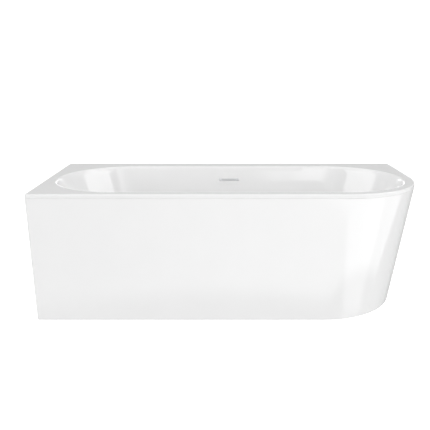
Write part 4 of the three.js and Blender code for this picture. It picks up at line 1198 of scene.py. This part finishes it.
def hose_route():
    board_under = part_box("base_board")[0].z
    rail_low, rail_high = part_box("frame_rail_back")

    def behind(share, aside):
        z = board_under + (OVERFLOW_Z - board_under) * share
        y, lean = back_wall(max(z, FLOOR_HEIGHT + 2 * FLOOR_FALL))
        y += WALL + (HOSE_RADIUS + HOSE_CLEAR) * min(1 / math.cos(lean), 2.4)
        return Vector((-aside * HOSE_SIDEWAYS, y, z))

    def inlet(reach):
        return Vector((-HOSE_END - reach, BASIN_Y, INLET_Z))

    lowest = rail_low.z - HOSE_RADIUS - HOSE_CLEAR
    rail = (rail_low.y + rail_high.y) / 2
    tube = rail_high.z - rail_low.z
    aside = rail - BASIN_Y
    return [
        spigot_point(HOSE_TOP), spigot_point(HOSE_TOP + HOSE_GRIP), spigot_point(HOSE_TOP + 2 * HOSE_GRIP),
        spigot_point(HOSE_TOP + 3 * HOSE_GRIP), behind(0.6, 0.12), behind(0.4, 0.35), behind(0.18, 0.65),
        behind(0, 0.86), Vector((-HOSE_SIDEWAYS, rail + tube, lowest)),
        Vector((-HOSE_SIDEWAYS, rail - tube, lowest + 1 * MM)),
        Vector((-0.84 * HOSE_SIDEWAYS, BASIN_Y + 0.3 * aside, lowest + 10 * MM)),
        inlet(2.8 * HOSE_GRIP), inlet(2 * HOSE_GRIP), inlet(HOSE_GRIP), inlet(0),
    ]


def through(points, samples=24):
    """Points on a centripetal Catmull-Rom curve through the given ones."""
    padded = [points[0] * 2 - points[1], *points, points[-1] * 2 - points[-2]]
    curve = []
    for i in range(1, len(padded) - 2):
        p0, p1, p2, p3 = padded[i - 1:i + 3]
        d0, d1, d2 = (math.sqrt((b - a).length) for a, b in ((p0, p1), (p1, p2), (p2, p3)))
        t1 = ((p1 - p0) / d0 - (p2 - p0) / (d0 + d1) + (p2 - p1) / d1) * d1
        t2 = ((p2 - p1) / d1 - (p3 - p1) / (d1 + d2) + (p3 - p2) / d2) * d1
        for k in range(samples):
            s = k / samples
            curve.append(p1 * (2 * s ** 3 - 3 * s ** 2 + 1) + t1 * (s ** 3 - 2 * s ** 2 + s)
                         + p2 * (3 * s ** 2 - 2 * s ** 3) + t2 * (s ** 3 - s ** 2))
    return curve + [points[-1]]


def evenly(curve, step):
    """The same curve with a point at every step of its length, and its length."""
    points = np.array([tuple(p) for p in curve])
    reach = np.concatenate([[0], np.cumsum(np.linalg.norm(np.diff(points, axis=0), axis=1))])
    count = int(round(reach[-1] / step))
    wanted = np.linspace(0, reach[-1], count + 1)
    return np.stack([np.interp(wanted, reach, points[:, k]) for k in range(3)], axis=1), reach[-1]


def build_hose():
    """A corrugated hose: plain cuffs at its ends and rings between them."""
    pitch, sides, per_ring = 4.6 * MM, 28, 6
    points, length = evenly(through(hose_route()), pitch / per_ring)
    tangents = np.gradient(points, axis=0)
    tangents /= np.linalg.norm(tangents, axis=1)[:, None]
    side = np.cross(tangents[0], (1, 0, 0))
    side /= np.linalg.norm(side)
    around = np.linspace(0, 2 * math.pi, sides, endpoint=False)
    outer, inner = [], []
    cuff = 16 * MM
    reach = np.linspace(0, length, len(points))
    for point, tangent, along in zip(points, tangents, reach):
        side = side - tangent * side.dot(tangent)
        side /= np.linalg.norm(side)
        other = np.cross(tangent, side)
        from_end = min(along, length - along)
        depth = 0.0 if from_end < cuff else 1.9 * MM
        wave = 0.5 - 0.5 * math.cos(2 * math.pi * (along - cuff) / pitch)
        radius = HOSE_RADIUS - depth * wave ** 2
        circle = np.outer(np.cos(around), side) + np.outer(np.sin(around), other)
        outer.append(point + circle * radius)
        inner.append(point + circle * (HOSE_RADIUS - 2.1 * MM))
    rings = outer + inner[::-1]
    hose = new_object("corrugated_hose", np.concatenate(rings), ring_faces(sides, len(rings), wrap=True),
                      [WHITE_PLASTIC], smooth_angle=60)
    place_piece(hose, "bath", "overflow_hose")
    nut_profile = mm((13.4, 0), (16, 0), (16, 15), (14.6, 18), (13.4, 18))
    top = ribbed_nut("hose_ring_top", nut_profile, 12, 1 * MM, 1 * MM, 14 * MM, GREY_PLASTIC)
    move(top, AT_OVERFLOW @ Matrix.Translation((0, BOX_MIDDLE, -HOSE_TOP + 2 * MM))
         @ rotation(180, "X"))
    place_piece(top, "bath", "hose_nut_top")
    low = ribbed_nut("hose_ring_bottom", nut_profile, 12, 1 * MM, 1 * MM, 14 * MM, GREY_PLASTIC)
    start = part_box("hose_nut_bottom")[1].x
    move(low, Matrix.Translation((start, BASIN_Y, INLET_Z)) @ rotation(-90, "Y"))
    place_piece(low, "bath", "hose_nut_bottom")


# ---- Camera, light and floor ----

def build_camera():
    data = bpy.data.cameras.new("camera")
    data.sensor_width = 36
    data.lens = 48.05
    data.shift_x = -0.0151
    camera = link(bpy.data.objects.new("camera", data))
    camera.location = (-0.0394, -2.6665, 1.0968)
    camera.rotation_euler = (math.radians(90 - 14.88), 0, 0)
    scene.camera = camera


def area_light(name, place, target, size, power):
    data = bpy.data.lights.new(name, "AREA")
    data.shape = "RECTANGLE"
    data.size, data.size_y = size
    data.energy = power
    lamp = link(bpy.data.objects.new(name, data))
    lamp.location = place
    lamp.rotation_euler = (Vector(target) - Vector(place)).to_track_quat("-Z", "Y").to_euler()
    lamp.visible_camera = False


# The studio round the bath, in degrees. Bearings run from the front, 0, over the right, 90, to the back, 180.
# Each panel has the brightness it adds and its left, right, lower and upper edge. An edge has its place, how
# soft it is and, for the sides, how far it moves sideways with each degree down from SLANT_FROM.
STUDIO_LEVEL = 0.46
STUDIO = [
    (0.45, (-95, 30, 0), (104, 4, -1.7), (-29.2, 2.2), (-12, 14)),
    (0.6, (-4, 34, 0), (104, 4, -1.7), (-29.2, 2.2), (-12, 14)),
    (0.72, (12, 3, 2.2), (70, 6, 0), (-34, 3), (-12, 8)),
    (1.8, (40, 3, 0), (90, 6, 0), (-1, 6), (50, 6)),
    (1.6, (-92, 6, 0), (-36, 3, 0), (-1, 6), (50, 6)),
    (0.36, (-200, 1, 0), (200, 1, 0), (50, 16), (100, 1)),
    (0.4, (-20, 10, 0), (20, 10, 0), (-1, 6), (18, 8)),
    (0.2, (-200, 1, 0), (-100, 10, 0), (-40, 10), (4, 8)),
    (2.2, (150, 20, 0), (200, 1, 0), (-8, 4), (7, 4)),
    (2.2, (-200, 1, 0), (-150, 20, 0), (-8, 4), (7, 4)),
    (0.8, (140, 20, 0), (200, 1, 0), (52, 6), (70, 6)),
    (0.8, (-200, 1, 0), (-140, 20, 0), (52, 6), (70, 6)),
]
SLANT_FROM = -20


def build_world():
    """White behind the bath, and a studio of soft panels that only lights it and mirrors in it."""
    world = bpy.data.worlds.new("studio")
    scene.world = world
    world.use_nodes = True
    t = Tree(world.node_tree)
    t.tree.nodes.clear()
    way = t.node("SeparateXYZ", {"Vector": t.node("TexCoord").outputs["Generated"]}).outputs
    to_degrees = 180 / math.pi
    bearing = t.math("MULTIPLY", t.math("ARCTAN2", way["X"], t.math("MULTIPLY", way["Y"], -1.0)),
        to_degrees)
    height = t.math("MULTIPLY", t.math("ARCSINE", way["Z"]), to_degrees)
    below = t.math("SUBTRACT", SLANT_FROM, height)
    total = STUDIO_LEVEL
    for added, left, right, low, high in STUDIO:
        inside = added
        edges = ((1, bearing, left), (-1, bearing, right), (1, height, low), (-1, height, high))
        for sign, value, edge in edges:
            place, soft = edge[:2]
            if len(edge) == 3 and edge[2]:
                value = t.math("SUBTRACT", value, t.math("MULTIPLY", below, edge[2]))
            ends = (place - soft / 2, place + soft / 2)
            mask = t.fit(value, (1 - sign) / 2, (1 + sign) / 2, *ends, "SMOOTHSTEP")
            inside = t.math("MULTIPLY", mask, inside)
        total = t.math("ADD", inside, total)
    lit = t.node("Background", {"Color": (1, 1, 1, 1), "Strength": total})
    seen = t.node("Background", {"Color": (1, 1, 1, 1), "Strength": 1.1})
    mix = t.node("MixShader", {"Fac": t.node("LightPath").outputs["Is Camera Ray"]})
    t.feed(mix.inputs[1], lit.outputs[0])
    t.feed(mix.inputs[2], seen.outputs[0])
    t.node("OutputWorld", {"Surface": mix.outputs[0]})


def build_floor():
    """A plain pale floor, bright enough to meet the background, that keeps a trace of contact shadow."""
    n = Nodes("pale_floor")
    n.finish((0.3, 0.3, 0.3, 1), 0.9)
    n.feed(n.shader.inputs["Emission Color"], (1, 1, 1, 1))
    n.feed(n.shader.inputs["Emission Strength"], 0.93)
    half = 12
    floor = new_object("floor", [(-half, -half, 0), (half, -half, 0), (half, half, 0), (-half, half, 0)],
                       [(0, 1, 2, 3)], [n.material])
    floor.location.z = -0.0005
    floor.visible_diffuse = False
    floor.visible_glossy = False
    floor.visible_shadow = False


def build_lights():
    area_light("front_strip", (0.78, -3.2, 1.2), (0.78, 0, 1.0), (0.66, 1.9), 2.4)
    area_light("front_sliver", (0.95, -3.3, 1.2), (0.95, 0, 1.0), (0.34, 1.9), 1.2)


scene.view_settings.view_transform = "Standard"
build_camera()
build_world()
build_floor()
build_lights()
build_shell()
build_apron()
build_overflow()
build_boards()
build_frame()
build_waste()
build_trap()
build_hose()
